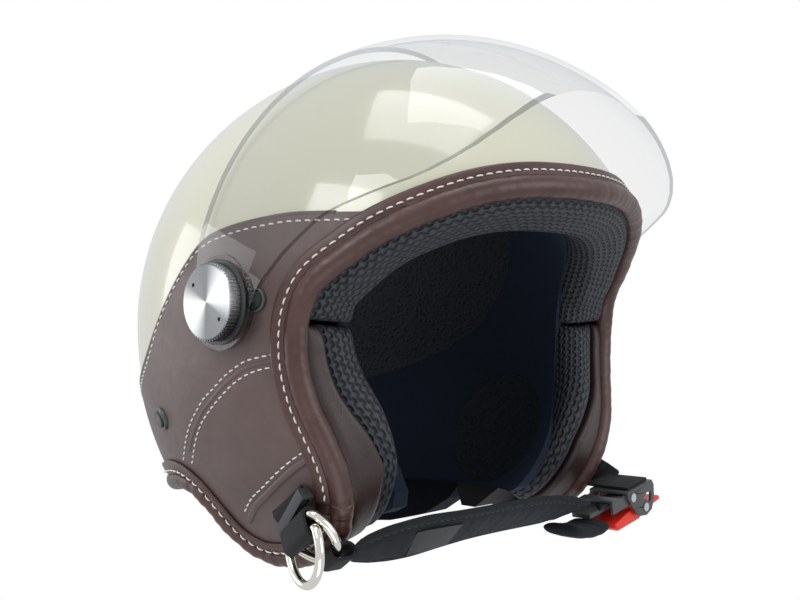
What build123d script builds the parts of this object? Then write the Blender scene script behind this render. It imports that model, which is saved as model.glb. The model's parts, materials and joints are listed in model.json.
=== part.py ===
# Open face helmet: shell, padded liner, leather trim, clear visor on two side
# knobs, double-ring strap on the right and quick-release buckle on the left.
# Front faces -Y, up is +Z, the wearer's right is -X. Millimetres.
import os
from math import sqrt, radians, sin, cos
from build123d import *

os.makedirs("parts", exist_ok=True)

# ---- driving dimensions ------------------------------------------------------
HALF_W = 124.0        # half width of the shell's outer surface
R_FRONT = 133.8       # reach of that surface forward, rearward, up and down
R_REAR = 142.9
R_UP = 133.8
R_DOWN = 148.7
Y0 = -8.5            # position of the form's centre in the frame
Z0 = 111.0
T_SHELL = 3.5         # shell thickness
T_LEATHER = 1.4       # leather on the shell
T_ROLL = 3.2          # reach of the edge trims beyond the shell
FOAM_IN = 30.0        # depth of the foam's inner face below the shell's outside
LINER_IN = 36.0       # depth of the comfort lining's inner face
NECK_IN = 18.0        # depth of the neck roll's inner face
PAD_OUT = 12.0        # depth of the rim pads' outer face
PIV_Y = -17.9         # visor pivot, from the form's centre
PIV_Z = 9.2
KNOB_R = 16.8
KNOB_X = 135.5        # outer face of the knob
EAR_R = 20.6          # rounded end of the visor's arm
VIS_AX = 131.6        # visor: half width and radius of its outer surface
VIS_R = 150.0
VIS_T = 2.3
VIS_Y = -26.5
VIS_Z = -8.55
WEB_W = 24.0          # webbing
WEB_T = 1.5
RING_R = 2.0          # ring wire radius
BUCKLE = (97.0, -72.0, -95.0)

# ---- side profiles (y, z) from the form's centre -----------------------------
STRIP_OUT = [(-117.5, 68), (-113, 67), (-107, 64), (-100, 61), (-93, 57), (-84, 52),
             (-76, 46), (-71, 42), (-65, 36), (-59, 30), (-54, 24), (-50, 18), (-48, 11),
             (-45.5, 4), (-44, -4), (-43, -15), (-44, -22), (-45, -30), (-47, -36),
             (-49.5, -43), (-51, -51), (-52, -57), (-53, -63), (-53, -68), (-52, -75), (-50, -81)]
ROLL_IN = [(-123.5, 54), (-117, 54), (-111, 52.5), (-104, 49), (-96, 44), (-87, 39), (-80, 33.5),
           (-72, 26.5), (-65, 20), (-59, 13), (-56, 6), (-54, -1), (-54, -14), (-55, -22),
           (-57, -33), (-59, -42), (-61, -49), (-62, -56), (-62, -64), (-60, -73), (-57, -81),
           (-53, -88)]
SHELL_FACE = [(-120, 59.5), (-111, 58), (-103, 54), (-94.5, 49), (-85, 44), (-77, 38.5),
              (-69, 31), (-61.5, 24), (-55, 16.5), (-51.5, 9), (-49.5, 0), (-49.3, -14),
              (-50, -24), (-51.5, -33), (-54, -43), (-56, -50), (-57, -57), (-57, -65),
              (-55.5, -73), (-52.5, -81), (-48.5, -88.5), (-41, -96), (-31, -101.5),
              (-20, -104), (-10, -104.5), (0, -102.5), (7.5, -97.5), (13.5, -90), (18.5, -82),
              (26, -74.5), (38, -71.5), (50, -72.5), (62, -75), (80, -78), (110, -80)]
LOW_TOP = [(-50, -81), (-44, -89), (-35, -94.5), (-25, -97), (-13, -98), (-6, -96), (-2, -92.5),
           (3, -88), (8, -82), (12, -76), (18, -70), (28, -66), (41, -65), (58, -68), (80, -71),
           (110, -73), (165, -73)]
LOW_BOT = [(-53, -88), (-47, -96.5), (-38, -103.5), (-27, -108.5), (-17, -111), (-3, -111),
           (6, -108), (13, -101), (19, -92.5), (24, -85), (30, -80), (42, -78), (58, -80.5),
           (80, -84), (110, -86.5), (165, -86.5)]
LEATHER_TOP = [(-130, 52), (-90, 48), (-75, 46), (-62, 46), (-43, 46), (-29, 44.5), (-19, 43),
               (-9, 41), (1, 38), (7, 34), (14, 27), (22, 18), (29, 10), (37, 1), (47, -9),
               (57, -17), (71, -25), (90, -33), (115, -40), (165, -48)]
SEAM = [(-70, -14), (-42, -15.5), (-35, -16.5), (-27, -19), (-20, -22), (-12, -27), (-4, -33), (3, -38),
        (10, -43.5), (16, -50), (22, -57), (31, -66), (44, -82)]
SLOT = [(-70, -43), (-49, -57), (-44, -60), (-35, -66), (-25, -73), (-15, -79.5), (-5, -88), (5, -97), (14, -106)]
PAD_BACK = [(-112, 76), (-104, 74), (-95, 70), (-85, 65), (-74, 58), (-63, 50), (-53, 42),
            (-43, 33), (-35, 23), (-30, 12), (-27, 0), (-26, -15), (-27, -30), (-30, -45),
            (-32, -58), (-30, -72), (-24, -84), (-16, -92), (-10, -99), (-8, -106)]
VIS_LOW = [(-22, -11), (-28, -8), (-32, -5), (-34, 0), (-36, 4), (-39, 8), (-42, 14),
           (-46, 19), (-50, 24), (-54, 29), (-59, 34), (-63, 38), (-67, 42), (-71, 45),
           (-77, 48), (-86, 52), (-93, 55), (-99, 57.5), (-105, 61), (-111, 66), (-116, 72),
           (-119.5, 79), (-122, 87), (-123.5, 97), (-124, 107)]


def yz(points):
    return [(y + Y0, z + Z0) for y, z in points]


def at(x, y, z):
    return (x, y + Y0, z + Z0)


def prism(points, x0=-200.0, x1=200.0):
    """Side profile carried across the width."""
    with BuildPart() as body:
        with BuildSketch(Plane.YZ.offset(x0)):
            with BuildLine():
                Polyline(*yz(points), close=True)
            make_face()
        extrude(amount=x1 - x0)
    return body.part


def box_between(x0, x1, y0, y1, z0, z1):
    with BuildPart() as body:
        with Locations(at((x0 + x1) / 2, (y0 + y1) / 2, (z0 + z1) / 2)):
            Box(x1 - x0, y1 - y0, z1 - z0)
    return body.part


def form(t):
    """The helmet's form at depth t: four quarter ellipsoids that meet tangentially."""
    quarters = []
    for sy, b in ((-1, R_FRONT - t), (1, R_REAR - t)):
        for sz, c in ((1, R_UP - t), (-1, R_DOWN - t)):
            ball = scale(Sphere(100), by=((HALF_W - t) / 100, b / 100, c / 100))
            block = Pos(0, sy * 150, sz * 150) * Box(400, 300, 300)
            quarters.append(ball & block)
    whole = quarters[0] + quarters[1:]
    return Pos(0, Y0, Z0) * whole


def skin_x(t, y, z):
    """Half width of the form at depth t."""
    b = (R_FRONT if y < 0 else R_REAR) - t
    c = (R_UP if z > 0 else R_DOWN) - t
    return (HALF_W - t) * sqrt(max(0.0, 1 - (y / b) ** 2 - (z / c) ** 2))


def normal(x, y, z):
    b = R_FRONT if y < 0 else R_REAR
    c = R_UP if z > 0 else R_DOWN
    return Vector(x / HALF_W ** 2, y / b ** 2, z / c ** 2).normalized()


def half(side):
    return box_between(0.15, 200, -200, 200, -200, 200) if side > 0 else box_between(-200, -0.15, -200, 200, -200, 200)


SIDES = (("right", -1), ("left", 1))

F = {t: form(t) for t in (-T_ROLL, -1.6, -T_LEATHER, 0.0, T_SHELL, 3.7, 5.8, 6.0, 11.8, PAD_OUT, NECK_IN, FOAM_IN, 30.2, LINER_IN)}

behind_shell_edge = prism([(200, 200), (-200, 200), (-200, 59.5)] + SHELL_FACE + [(200, -80)])
behind_rim = prism([(200, 200), (-200, 200), (-200, 54)] + ROLL_IN + LOW_BOT[1:-1] + [(200, -86.5)])
pad_back_zone = prism([(200, 200), (-200, 200), (-200, 76)] + PAD_BACK[:-1] + [(0, -99), (8, -93), (16, -82), (24, -73.5), (34, -70.5), (200, -70.5)])
below_leather_top = prism(LEATHER_TOP + [(200, -48), (200, -200), (-200, -200), (-200, 52)])
below_seam = prism(SEAM + [(60, -200), (-200, -200), (-200, -14)])
above_seam = prism([(y, z + 0.3) for y, z in SEAM] + [(60, -150), (200, -150), (200, 200), (-200, 200), (-200, -13.7)])
above_slot = prism(SLOT + [(200, -106), (200, 200), (-200, 200), (-200, -43)])
below_slot = prism([(y, z - 0.3) for y, z in SLOT] + [(14, -200), (-200, -200), (-200, -43.3)])

# ---- visor pivots, in the shell and foam --------------------------------------
PIV = (PIV_Y + Y0, PIV_Z + Z0)


def rod(r, x0, x1, y=PIV_Y, z=PIV_Z):
    """Round bar along X."""
    with BuildPart() as body:
        with BuildSketch(Plane.YZ.offset(x0)):
            with Locations((y + Y0, z + Z0)):
                Circle(r)
        extrude(amount=x1 - x0)
    return body.part


def rod_on(p, d, r, a, b):
    """Round bar from a to b along d at p."""
    with BuildPart() as body:
        with BuildSketch(Plane(origin=Vector(*p) + Vector(*d).normalized() * a, z_dir=Vector(*d))):
            Circle(r)
        extrude(amount=b - a)
    return body.part


SNAPS = []
for ys, zs in ((-33, 10), (43, -44)):
    for s in (-1, 1):
        xs = s * skin_x(0.0, ys, zs)
        SNAPS.append((at(xs, ys, zs), tuple(normal(xs, ys, zs))))

ANCHORS = {s: (at(s * skin_x(0.0, 0, -44), 0, -44), tuple(normal(s * 118, 0, -44))) for s in (-1, 1)}

# strap anchors: width direction of the webbing, hanging direction and the rings' loop
U_STRAP = {s: Vector(s * 0.24, -0.83, 0.50).normalized() for s in (-1, 1)}
U_SLOT = {s: Vector(s * 0.04, -0.85, 0.52).normalized() for s in (-1, 1)}
HANG = Vector(-0.139, -0.479, -0.866).normalized()
LOOP = Vector(*at(-105.0, -43.0, -88.0))
BAR_GAP = 3.0


def strip(points, across, width, thick):
    """Flat band through points, with its width along the matching directions."""
    pts = [Vector(*p) for p in points]
    with BuildPart() as body:
        for i, p in enumerate(pts):
            a, b = pts[max(i - 1, 0)], pts[min(i + 1, len(pts) - 1)]
            run = (b - a).normalized()
            u = Vector(*across[i])
            u = (u - run * u.dot(run)).normalized()
            with BuildSketch(Plane(origin=p, x_dir=u, z_dir=run)):
                Rectangle(width, thick)
        loft(ruled=True)
    return body.part


def slot_tool(s):
    p = at(s * skin_x(1.5, -31.5, -73.5), -31.5, -73.5)
    n = normal(s * 103, -31.5, -73.5)
    u = U_SLOT[s]
    u = (u - n * u.dot(n)).normalized()
    with BuildPart() as body:
        with BuildSketch(Plane(origin=Vector(*p) - n * 14, x_dir=u, z_dir=n)):
            Rectangle(WEB_W + 2.6, 17.0)
        extrude(amount=22)
    return body.part


SLOT_TOOLS = {s: slot_tool(s) for s in (-1, 1)}

# ---- shell --------------------------------------------------------------------
with BuildPart() as outer_shell:
    add(F[0.0])
    add(F[T_SHELL], mode=Mode.SUBTRACT)
    add(behind_shell_edge, mode=Mode.INTERSECT)
    for s in (-1, 1):
        add(rod(4.6, s * 100, s * 140), mode=Mode.SUBTRACT)
        add(SLOT_TOOLS[s], mode=Mode.SUBTRACT)
        add(rod_on(*ANCHORS[s], 2.6, -9, 3), mode=Mode.SUBTRACT)
    for p, d in SNAPS:
        add(rod_on(p, d, 2.3, -2.4, 2), mode=Mode.SUBTRACT)
outer_shell.part.label = "outer_shell"
export_step(outer_shell.part, "parts/outer_shell.step")

# ---- foam ----------------------------------------------------------------------
foam_pocket = {}
for s in (-1, 1):
    foam_pocket[s] = box_between(min(s * 92, s * 125), max(s * 92, s * 125), -44, 14, -92, -34)
with BuildPart() as eps_liner:
    add(F[3.7])
    add(F[FOAM_IN], mode=Mode.SUBTRACT)
    add(pad_back_zone, mode=Mode.INTERSECT)
    for s in (-1, 1):
        add(rod(11, s * 108, s * 140), mode=Mode.SUBTRACT)
        add(foam_pocket[s], mode=Mode.SUBTRACT)
eps_liner.part.label = "eps_liner"
export_step(eps_liner.part, "parts/eps_liner.step")

# ---- leather on the shell --------------------------------------------------------
VIS_C = (0.0, VIS_Y + Y0, VIS_Z + Z0)


def visor_form(d):
    with BuildPart() as body:
        with BuildSketch(Plane(origin=VIS_C, x_dir=(1, 0, 0), z_dir=(0, -1, 0))):
            Ellipse(VIS_AX - d, VIS_R - d)
            with Locations((0, -200)):
                Rectangle(400, 400, mode=Mode.SUBTRACT)
        revolve(axis=Axis(VIS_C, (1, 0, 0)))
    return body.part


leather = (F[-T_LEATHER] - F[0.0]) & behind_shell_edge & below_leather_top
leather -= box_between(-200, 200, -30, 16, 28, 50) - visor_form(VIS_T + 0.35)
for s in (-1, 1):
    leather -= rod(3.4, s * 100, s * 140)
for p, d in SNAPS:
    leather -= rod_on(p, d, 2.4, -4, 4)

with BuildPart() as leather_upper_right:
    add(leather & half(-1) & above_seam)
leather_upper_right.part.label = "leather_upper_right"
export_step(leather_upper_right.part, "parts/leather_upper_right.step")
with BuildPart() as leather_upper_left:
    add(leather & half(1) & above_seam)
leather_upper_left.part.label = "leather_upper_left"
export_step(leather_upper_left.part, "parts/leather_upper_left.step")

leather_low = leather & below_seam
with BuildPart() as leather_lower_right:
    add(leather_low & half(-1) & above_slot)
leather_lower_right.part.label = "leather_lower_right"
export_step(leather_lower_right.part, "parts/leather_lower_right.step")
with BuildPart() as leather_lower_left:
    add(leather_low & half(1) & above_slot)
leather_lower_left.part.label = "leather_lower_left"
export_step(leather_lower_left.part, "parts/leather_lower_left.step")
leather_corner = leather_low & below_slot
with BuildPart() as leather_corner_right:
    add(leather_corner & half(-1))
    add(SLOT_TOOLS[-1], mode=Mode.SUBTRACT)
leather_corner_right.part.label = "leather_corner_right"
export_step(leather_corner_right.part, "parts/leather_corner_right.step")
with BuildPart() as leather_corner_left:
    add(leather_corner & half(1))
    add(SLOT_TOOLS[1], mode=Mode.SUBTRACT)
leather_corner_left.part.label = "leather_corner_left"
export_step(leather_corner_left.part, "parts/leather_corner_left.step")

# ---- edge trims -----------------------------------------------------------------
strip_front = prism([(-200, 68)] + STRIP_OUT + LOW_TOP[1:] + [(200, -73), (200, -200), (-200, -200)])
lip = (F[-T_ROLL] - F[5.8]) & (behind_rim - behind_shell_edge)
flat = (F[-T_ROLL] - F[-1.6]) & (behind_shell_edge & strip_front)
trim = lip + flat
face_zone = prism([(-35, -46), (-62, -109), (-200, -109), (-200, 170), (-35, 170)])
with BuildPart() as face_edge_roll:
    add(trim & face_zone)
face_edge_roll.part.label = "face_edge_roll"
export_step(face_edge_roll.part, "parts/face_edge_roll.step")
with BuildPart() as lower_edge_roll:
    add(trim - face_zone)
lower_edge_roll.part.label = "lower_edge_roll"
export_step(lower_edge_roll.part, "parts/lower_edge_roll.step")

# ---- pads on the rim ---------------------------------------------------------------
rim_zone = behind_rim - pad_back_zone
above_brow = box_between(-200, 200, -200, 200, 4.4, 200)
below_brow = box_between(-200, 200, -200, 19.5, -98, 3.8)
with BuildPart() as brow_pad:
    add((F[6.0] - F[FOAM_IN]) & rim_zone & above_brow)
brow_pad.part.label = "brow_pad"
export_step(brow_pad.part, "parts/brow_pad.step")
cheek = (F[PAD_OUT] - F[FOAM_IN]) & rim_zone & below_brow
flap = (F[6.0] - F[11.8]) & rim_zone & below_brow
for s in (-1, 1):
    cheek -= foam_pocket[s]
    flap -= foam_pocket[s]
    flap -= SLOT_TOOLS[s]
with BuildPart() as cheek_pad_right:
    add(cheek & half(-1))
cheek_pad_right.part.label = "cheek_pad_right"
export_step(cheek_pad_right.part, "parts/cheek_pad_right.step")
with BuildPart() as cheek_pad_left:
    add(cheek & half(1))
cheek_pad_left.part.label = "cheek_pad_left"
export_step(cheek_pad_left.part, "parts/cheek_pad_left.step")
with BuildPart() as cheek_flap_right:
    add(flap & half(-1))
cheek_flap_right.part.label = "cheek_flap_right"
export_step(cheek_flap_right.part, "parts/cheek_flap_right.step")
with BuildPart() as cheek_flap_left:
    add(flap & half(1))
cheek_flap_left.part.label = "cheek_flap_left"
export_step(cheek_flap_left.part, "parts/cheek_flap_left.step")

# ---- comfort lining ------------------------------------------------------------------
LIN_FRONT = [(-108, 60), (-98, 57), (-88, 52), (-78, 46), (-69, 39), (-60, 31), (-53, 23),
             (-48, 14), (-45, 4), (-44, -10), (-45, -24), (-47, -36), (-50, -46), (-53, -55),
             (-53, -66), (-51, -76), (-46, -84), (-40, -87)]
CROWN = [(-110, 66), (-60, 60), (-15, 47), (-8, 30), (1, 17), (17, -2), (36, -14), (54, -23),
         (68, -29), (80, -33), (165, -40)]
REAR_SEAM = [(54, -10), (52, -23), (45, -44), (37, -63), (26, -84), (16, -112)]
EAR_C, EAR_A, EAR_B = (-9, -57), 31.0, 28.5
lin_zone = prism([(200, 200), (-200, 200), (-200, 60)] + LIN_FRONT + [(200, -87)])
crown_zone = prism([(-200, 66)] + CROWN + [(200, -40), (200, 200), (-200, 200)])
rear_zone = prism([(200, -10)] + REAR_SEAM + [(200, -112)])
lining = (F[30.2] - F[LINER_IN]) & lin_zone


def ellipse_bar(a, b, x0, x1):
    with BuildPart() as body:
        with BuildSketch(Plane.YZ.offset(x0)):
            with Locations((EAR_C[0] + Y0, EAR_C[1] + Z0)):
                Ellipse(a, b)
        extrude(amount=x1 - x0)
    return body.part


with BuildPart() as crown_pad_right:
    add((lining & half(-1)) & crown_zone)
crown_pad_right.part.label = "crown_pad_right"
export_step(crown_pad_right.part, "parts/crown_pad_right.step")
with BuildPart() as crown_pad_left:
    add((lining & half(1)) & crown_zone)
crown_pad_left.part.label = "crown_pad_left"
export_step(crown_pad_left.part, "parts/crown_pad_left.step")
lining_low = lining - crown_zone
with BuildPart() as neck_lining:
    add(lining_low & rear_zone)
neck_lining.part.label = "neck_lining"
export_step(neck_lining.part, "parts/neck_lining.step")
side_lining = lining_low - rear_zone
with BuildPart() as side_lining_right:
    add(side_lining & half(-1))
    add(ellipse_bar(EAR_A, EAR_B, -140, -20), mode=Mode.SUBTRACT)
side_lining_right.part.label = "side_lining_right"
export_step(side_lining_right.part, "parts/side_lining_right.step")
with BuildPart() as side_lining_left:
    add(side_lining & half(1))
    add(ellipse_bar(EAR_A, EAR_B, 20, 140), mode=Mode.SUBTRACT)
side_lining_left.part.label = "side_lining_left"
export_step(side_lining_left.part, "parts/side_lining_left.step")
ear = lining & ellipse_bar(EAR_A - 0.2, EAR_B - 0.2, -140, 140)
with BuildPart() as ear_mesh_right:
    add(ear & half(-1))
ear_mesh_right.part.label = "ear_mesh_right"
export_step(ear_mesh_right.part, "parts/ear_mesh_right.step")
with BuildPart() as ear_mesh_left:
    add(ear & half(1))
ear_mesh_left.part.label = "ear_mesh_left"
export_step(ear_mesh_left.part, "parts/ear_mesh_left.step")

NECK = [(20, -92), (24, -78), (34, -71), (165, -71), (165, -111), (44, -111), (30, -107), (22, -99)]
with BuildPart() as neck_roll:
    add((F[6.0] - F[NECK_IN]) & prism(NECK))
    for s in (-1, 1):
        add(foam_pocket[s], mode=Mode.SUBTRACT)
neck_roll.part.label = "neck_roll"
export_step(neck_roll.part, "parts/neck_roll.step")

# ---- visor ------------------------------------------------------------------------


REAR_EDGE = [(4 - 14 * ((z - 36) / 104) ** 2, z) for z in range(150, 30, -6)]
vis_zone = prism([(-130, 107), (-130, 150)] + REAR_EDGE + [(1.5, 24), (-0.5, 17), (-17.9, 9.2), (-22, -9)] + VIS_LOW[1:])
vis_raw = (visor_form(0) - visor_form(VIS_T)) & vis_zone
vis_raw = vis_raw - rod(EAR_R - 0.01, 128.6, 160) - rod(EAR_R - 0.01, -160, -128.6)
vis_raw = vis_raw & box_between(-128.6, 128.6, -200, 200, -200, 200)
with BuildPart() as visor:
    add(vis_raw)
    for s in (-1, 1):
        add(rod(EAR_R, min(s * 126.1, s * 128.6), max(s * 126.1, s * 128.6)))
    for s in (-1, 1):
        add(rod(6.05, min(s * 110, s * 140), max(s * 110, s * 140)), mode=Mode.SUBTRACT)
visor.part.label = "visor"
export_step(visor.part, "parts/visor.step")


def span(s, a, b):
    """Interval along X on side s."""
    return (s * a, s * b) if s > 0 else (-b, -a)


# ---- pivot hardware, one of each per side --------------------------------------------
def per_side(maker):
    with BuildPart() as body:
        for s in (-1, 1):
            add(maker(s))
    return body.part


def base_washer(s):
    return rod(8.8, *span(s, 120, 125.75)) - rod(3.3, *span(s, 110, 140)) - F[-T_LEATHER]


def bush(s):
    return rod(6.0, *span(s, 125.8, 128.9)) - rod(3.02, *span(s, 110, 140))


def knob_washer(s):
    return rod(18.3, *span(s, 128.95, 129.7)) - rod(3.02, *span(s, 110, 140))


def stud(s):
    return rod(3.0, *span(s, 114.5, 133.4)) + rod(4.6, *span(s, 113.3, 114.5))


def insert(s):
    return (rod(8.5, *span(s, 115.0, 116.8)) + rod(4.45, *span(s, 116.8, 121.5))) - rod(3.02, *span(s, 100, 140))


for maker, label in ((base_washer, "pivot_base_washers"), (bush, "pivot_bushes"), (knob_washer, "knob_washers"),
                     (stud, "pivot_studs"), (insert, "pivot_inserts")):
    group = per_side(maker)
    group.label = label
    export_step(group, "parts/" + label + ".step")


def knob(s):
    y, z = PIV_Y + Y0, PIV_Z + Z0
    outer = Plane(origin=(s * 130.0, y, z), x_dir=(0, 1, 0), z_dir=(s, 0, 0))
    with BuildPart() as body:
        with BuildSketch(outer):
            Circle(KNOB_R - 0.7)
            with PolarLocations(KNOB_R - 0.7, 60):
                Circle(0.55)
        extrude(amount=4.7)
        with BuildSketch(outer.offset(4.7)):
            Circle(KNOB_R - 0.7)
        extrude(amount=KNOB_X - 134.7)
        chamfer(body.faces().sort_by(Axis.X)[-1 if s > 0 else 0].edges(), 0.4)
        with BuildSketch(outer):
            Circle(3.06)
        extrude(amount=3.8, mode=Mode.SUBTRACT)
        with BuildSketch(outer.offset(4.5)):
            with Locations((-8.8, 7.3) if True else (0, 0), (8.8, -7.3)):
                Circle(0.9)
        extrude(amount=4, mode=Mode.SUBTRACT)
    return body.part


with BuildPart() as side_knob_right:
    add(knob(-1))
side_knob_right.part.label = "side_knob_right"
export_step(side_knob_right.part, "parts/side_knob_right.step")
with BuildPart() as side_knob_left:
    add(knob(1))
side_knob_left.part.label = "side_knob_left"
export_step(side_knob_left.part, "parts/side_knob_left.step")

# ---- snap studs -----------------------------------------------------------------------
SNAP_R, SNAP_BASE_R, SNAP_H = 3.8, 5.4, 2.4
with BuildPart() as snap_rings:
    for p, d in SNAPS:
        add(rod_on(p, d, SNAP_BASE_R, 1.0, 2.3) - rod_on(p, d, 2.25, 0, 4) - F[-T_LEATHER])
snap_rings.part.label = "snap_rings"
export_step(snap_rings.part, "parts/snap_rings.step")
with BuildPart() as snap_studs:
    for p, d in SNAPS:
        add(rod_on(p, d, 2.2, -2.3, 2.35) + rod_on(p, d, SNAP_R, 2.3, 2.3 + 1.5))
snap_studs.part.label = "snap_studs"
export_step(snap_studs.part, "parts/snap_studs.step")

# ---- right anchor strap, keeper and rings --------------------------------------------
u_r = U_STRAP[-1]
web_in = [(0, -44, 5.9), (-14, -56, 5.6), (-24, -66, 4.9), (-29.5, -71.5, 3.0)]


def web_path(s):
    pts = [at(s * skin_x(t, y, z), y, z) for y, z, t in web_in]
    pts.append(at(s * (skin_x(0, -33.6, -76) + 1.6), -33.6, -76))
    return pts


loop_up = LOOP - HANG * (BAR_GAP + 2.9)
right_pts = web_path(-1) + [tuple(loop_up)]
right_across = [tuple(U_SLOT[-1])] * 5 + [tuple(u_r)]


def loop_plane(offset):
    return Plane(origin=LOOP + u_r * offset, x_dir=HANG, z_dir=u_r)


def d_ring(bar_centre, reach_dir, half_w, straight, arc_r):
    """Ring of round wire: bar, two straight legs and a half-round end."""
    pl = Plane(origin=bar_centre, x_dir=u_r, z_dir=u_r.cross(reach_dir))
    c = 3.0
    with BuildPart() as body:
        with BuildLine(pl) as path:
            Line((-half_w + c, 0), (half_w - c, 0))
            RadiusArc((half_w - c, 0), (half_w, c), -c)
            Line((half_w, c), (half_w, straight))
            ThreePointArc((half_w, straight), (0, straight + arc_r), (-half_w, straight))
            Line((-half_w, straight), (-half_w, c))
            RadiusArc((-half_w, c), (-half_w + c, 0), -c)
        wire = path.wires()[0]
        with BuildSketch(Plane(origin=wire @ 0, z_dir=wire % 0)):
            Circle(RING_R)
        sweep(path=wire)
    return body.part


HANG = (HANG - u_r * HANG.dot(u_r)).normalized()
theta = radians(40)
N_R = u_r.cross(HANG)
ring2_dir = (HANG * cos(theta) + N_R * sin(theta)).normalized()
with BuildPart() as d_ring_outer:
    add(d_ring(LOOP + HANG * BAR_GAP, HANG, 14.6, 5.0, 14.6))
d_ring_outer.part.label = "d_ring_outer"
export_step(d_ring_outer.part, "parts/d_ring_outer.step")
with BuildPart() as d_ring_inner:
    add(d_ring(LOOP - HANG * BAR_GAP, ring2_dir, 14.4, 5.6, 14.4))
d_ring_inner.part.label = "d_ring_inner"
export_step(d_ring_inner.part, "parts/d_ring_inner.step")
ring2_tip = LOOP - HANG * BAR_GAP + ring2_dir * 20.0

with BuildPart() as anchor_strap_right:
    with BuildSketch(loop_plane(-WEB_W / 2)):
        SlotCenterToCenter(2 * BAR_GAP, 2 * 3.7)
        SlotCenterToCenter(2 * BAR_GAP, 2 * 2.2, mode=Mode.SUBTRACT)
    extrude(amount=WEB_W)
    add(strip(right_pts, right_across, WEB_W, WEB_T))
    add(rod_on(*ANCHORS[-1], 2.6, -12, 0), mode=Mode.SUBTRACT)
    add(d_ring_inner.part, mode=Mode.SUBTRACT)
anchor_strap_right.part.label = "anchor_strap_right"
export_step(anchor_strap_right.part, "parts/anchor_strap_right.step")

keep_dir = (loop_up - Vector(*right_pts[-2])).normalized()
keep_u = Vector(-0.19, -0.83, 0.51)
keep_u = (keep_u - keep_dir * keep_u.dot(keep_dir)).normalized()
keep_c = loop_up - keep_dir * 3.2
with BuildPart() as strap_keeper:
    with BuildSketch(Plane(origin=keep_c - keep_dir * 2.6, x_dir=keep_u, z_dir=keep_dir)):
        Rectangle(WEB_W + 4.4, 5.4)
        Rectangle(WEB_W + 1.4, 3.4, mode=Mode.SUBTRACT)
    extrude(amount=5.2)
    add(F[-1.6], mode=Mode.SUBTRACT)
    add(anchor_strap_right.part, mode=Mode.SUBTRACT)
    add(d_ring_inner.part, mode=Mode.SUBTRACT)
strap_keeper.part.label = "strap_keeper"
export_step(strap_keeper.part, "parts/strap_keeper.step")



# ---- chin strap ---------------------------------------------------------------------
STRAP_W, STRAP_T = 26.0, 5.5
CORE_W = 19.0
tip = Vector(*ring2_tip)
lead = (Vector(*at(-62, -66, -94)) - tip).normalized()
lead = (lead - u_r * lead.dot(u_r)).normalized()


def bk(a, b, c):
    """Point in the buckle's own axes: along, across, up."""
    e1, e3 = Vector(0.98, 0, 0.199), Vector(-0.199, 0, 0.98)
    return Vector(*at(*BUCKLE)) + e1 * a + Vector(0, 1, 0) * b + e3 * c


core_pts = [tip + lead * 6.6, tip + lead * 11, Vector(*at(-70, -64.5, -94.3)), Vector(*at(-58, -67, -93.2)),
            Vector(*at(-38, -69.3, -92.2)), Vector(*at(-16, -70, -91.5)), Vector(*at(4, -70.3, -91.3)),
            Vector(*at(24, -70.8, -91.6)), Vector(*at(40, -71.5, -92.6)), Vector(*at(52, -72, -94.2)),
            bk(-34, 0, 6.2), bk(-26, 0, 6.3), bk(-21, 0, 6.2)]
core_across = [tuple(u_r), tuple(u_r), (-0.1, -0.7, 0.72), (0, -0.66, 0.75), (0, -0.72, 0.69), (0, -0.76, 0.65),
               (0, -0.77, 0.64), (0, -0.79, 0.61), (0, -0.85, 0.53), (0, -0.93, 0.36), (0, -1, 0.08), (0, -1, 0), (0, -1, 0)]
loop2 = Plane(origin=tip + lead * 1.4 - u_r * 6.5, x_dir=lead, z_dir=u_r)
with BuildPart() as chin_strap_core:
    with BuildSketch(loop2):
        SlotCenterToCenter(5.2, 2 * 4.1)
        SlotCenterToCenter(5.2, 2 * 2.6, mode=Mode.SUBTRACT)
    extrude(amount=13.0)
    add(strip(core_pts, core_across, CORE_W - 3, WEB_T))
    add(F[-T_ROLL], mode=Mode.SUBTRACT)
    add(d_ring_inner.part, mode=Mode.SUBTRACT)
chin_strap_core.part.label = "chin_strap_core"
export_step(chin_strap_core.part, "parts/chin_strap_core.step")

hollow = strip(core_pts, core_across, CORE_W - 2.4, WEB_T + 0.6)
with BuildPart() as chin_strap_pad:
    add(strip(core_pts[1:10], core_across[1:10], STRAP_W, STRAP_T))
    add(hollow, mode=Mode.SUBTRACT)
chin_strap_pad.part.label = "chin_strap_pad"
export_step(chin_strap_pad.part, "parts/chin_strap_pad.step")


def lifted(i, h):
    run = (core_pts[min(i + 1, len(core_pts) - 1)] - core_pts[i - 1]).normalized()
    u = Vector(*core_across[i])
    return core_pts[i] + run.cross(u).normalized() * h


with BuildPart() as strap_label:
    add(strip([lifted(3, STRAP_T / 2 + 0.35) * 0.6 + lifted(2, STRAP_T / 2 + 0.35) * 0.4,
               lifted(3, STRAP_T / 2 + 0.35), lifted(4, STRAP_T / 2 + 0.35)],
              [core_across[3], core_across[3], core_across[4]], 16.0, 0.5))
    add(chin_strap_pad.part, mode=Mode.SUBTRACT)
strap_label.part.label = "strap_label"
export_step(strap_label.part, "parts/strap_label.step")

# ---- buckle ------------------------------------------------------------------------
BK_PLANE = Plane(origin=bk(0, 0, 0), x_dir=(0.98, 0, 0.199), z_dir=(0, -1, 0))
TONGUE_W, FRAME_W = 11.0, 24.0


def buckle_bar(points, b0, b1):
    """Profile (along, up) carried across the buckle from b0 to b1."""
    with BuildPart() as body:
        with BuildSketch(BK_PLANE.offset(-b1)):
            with BuildLine():
                Polyline(*points, close=True)
            make_face()
        extrude(amount=b1 - b0)
    return body.part


def buckle_rod(a, c, r, b0, b1):
    with BuildPart() as body:
        with BuildSketch(BK_PLANE.offset(-b1)):
            with Locations((a, c)):
                Circle(r)
        extrude(amount=b1 - b0)
    return body.part


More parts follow.
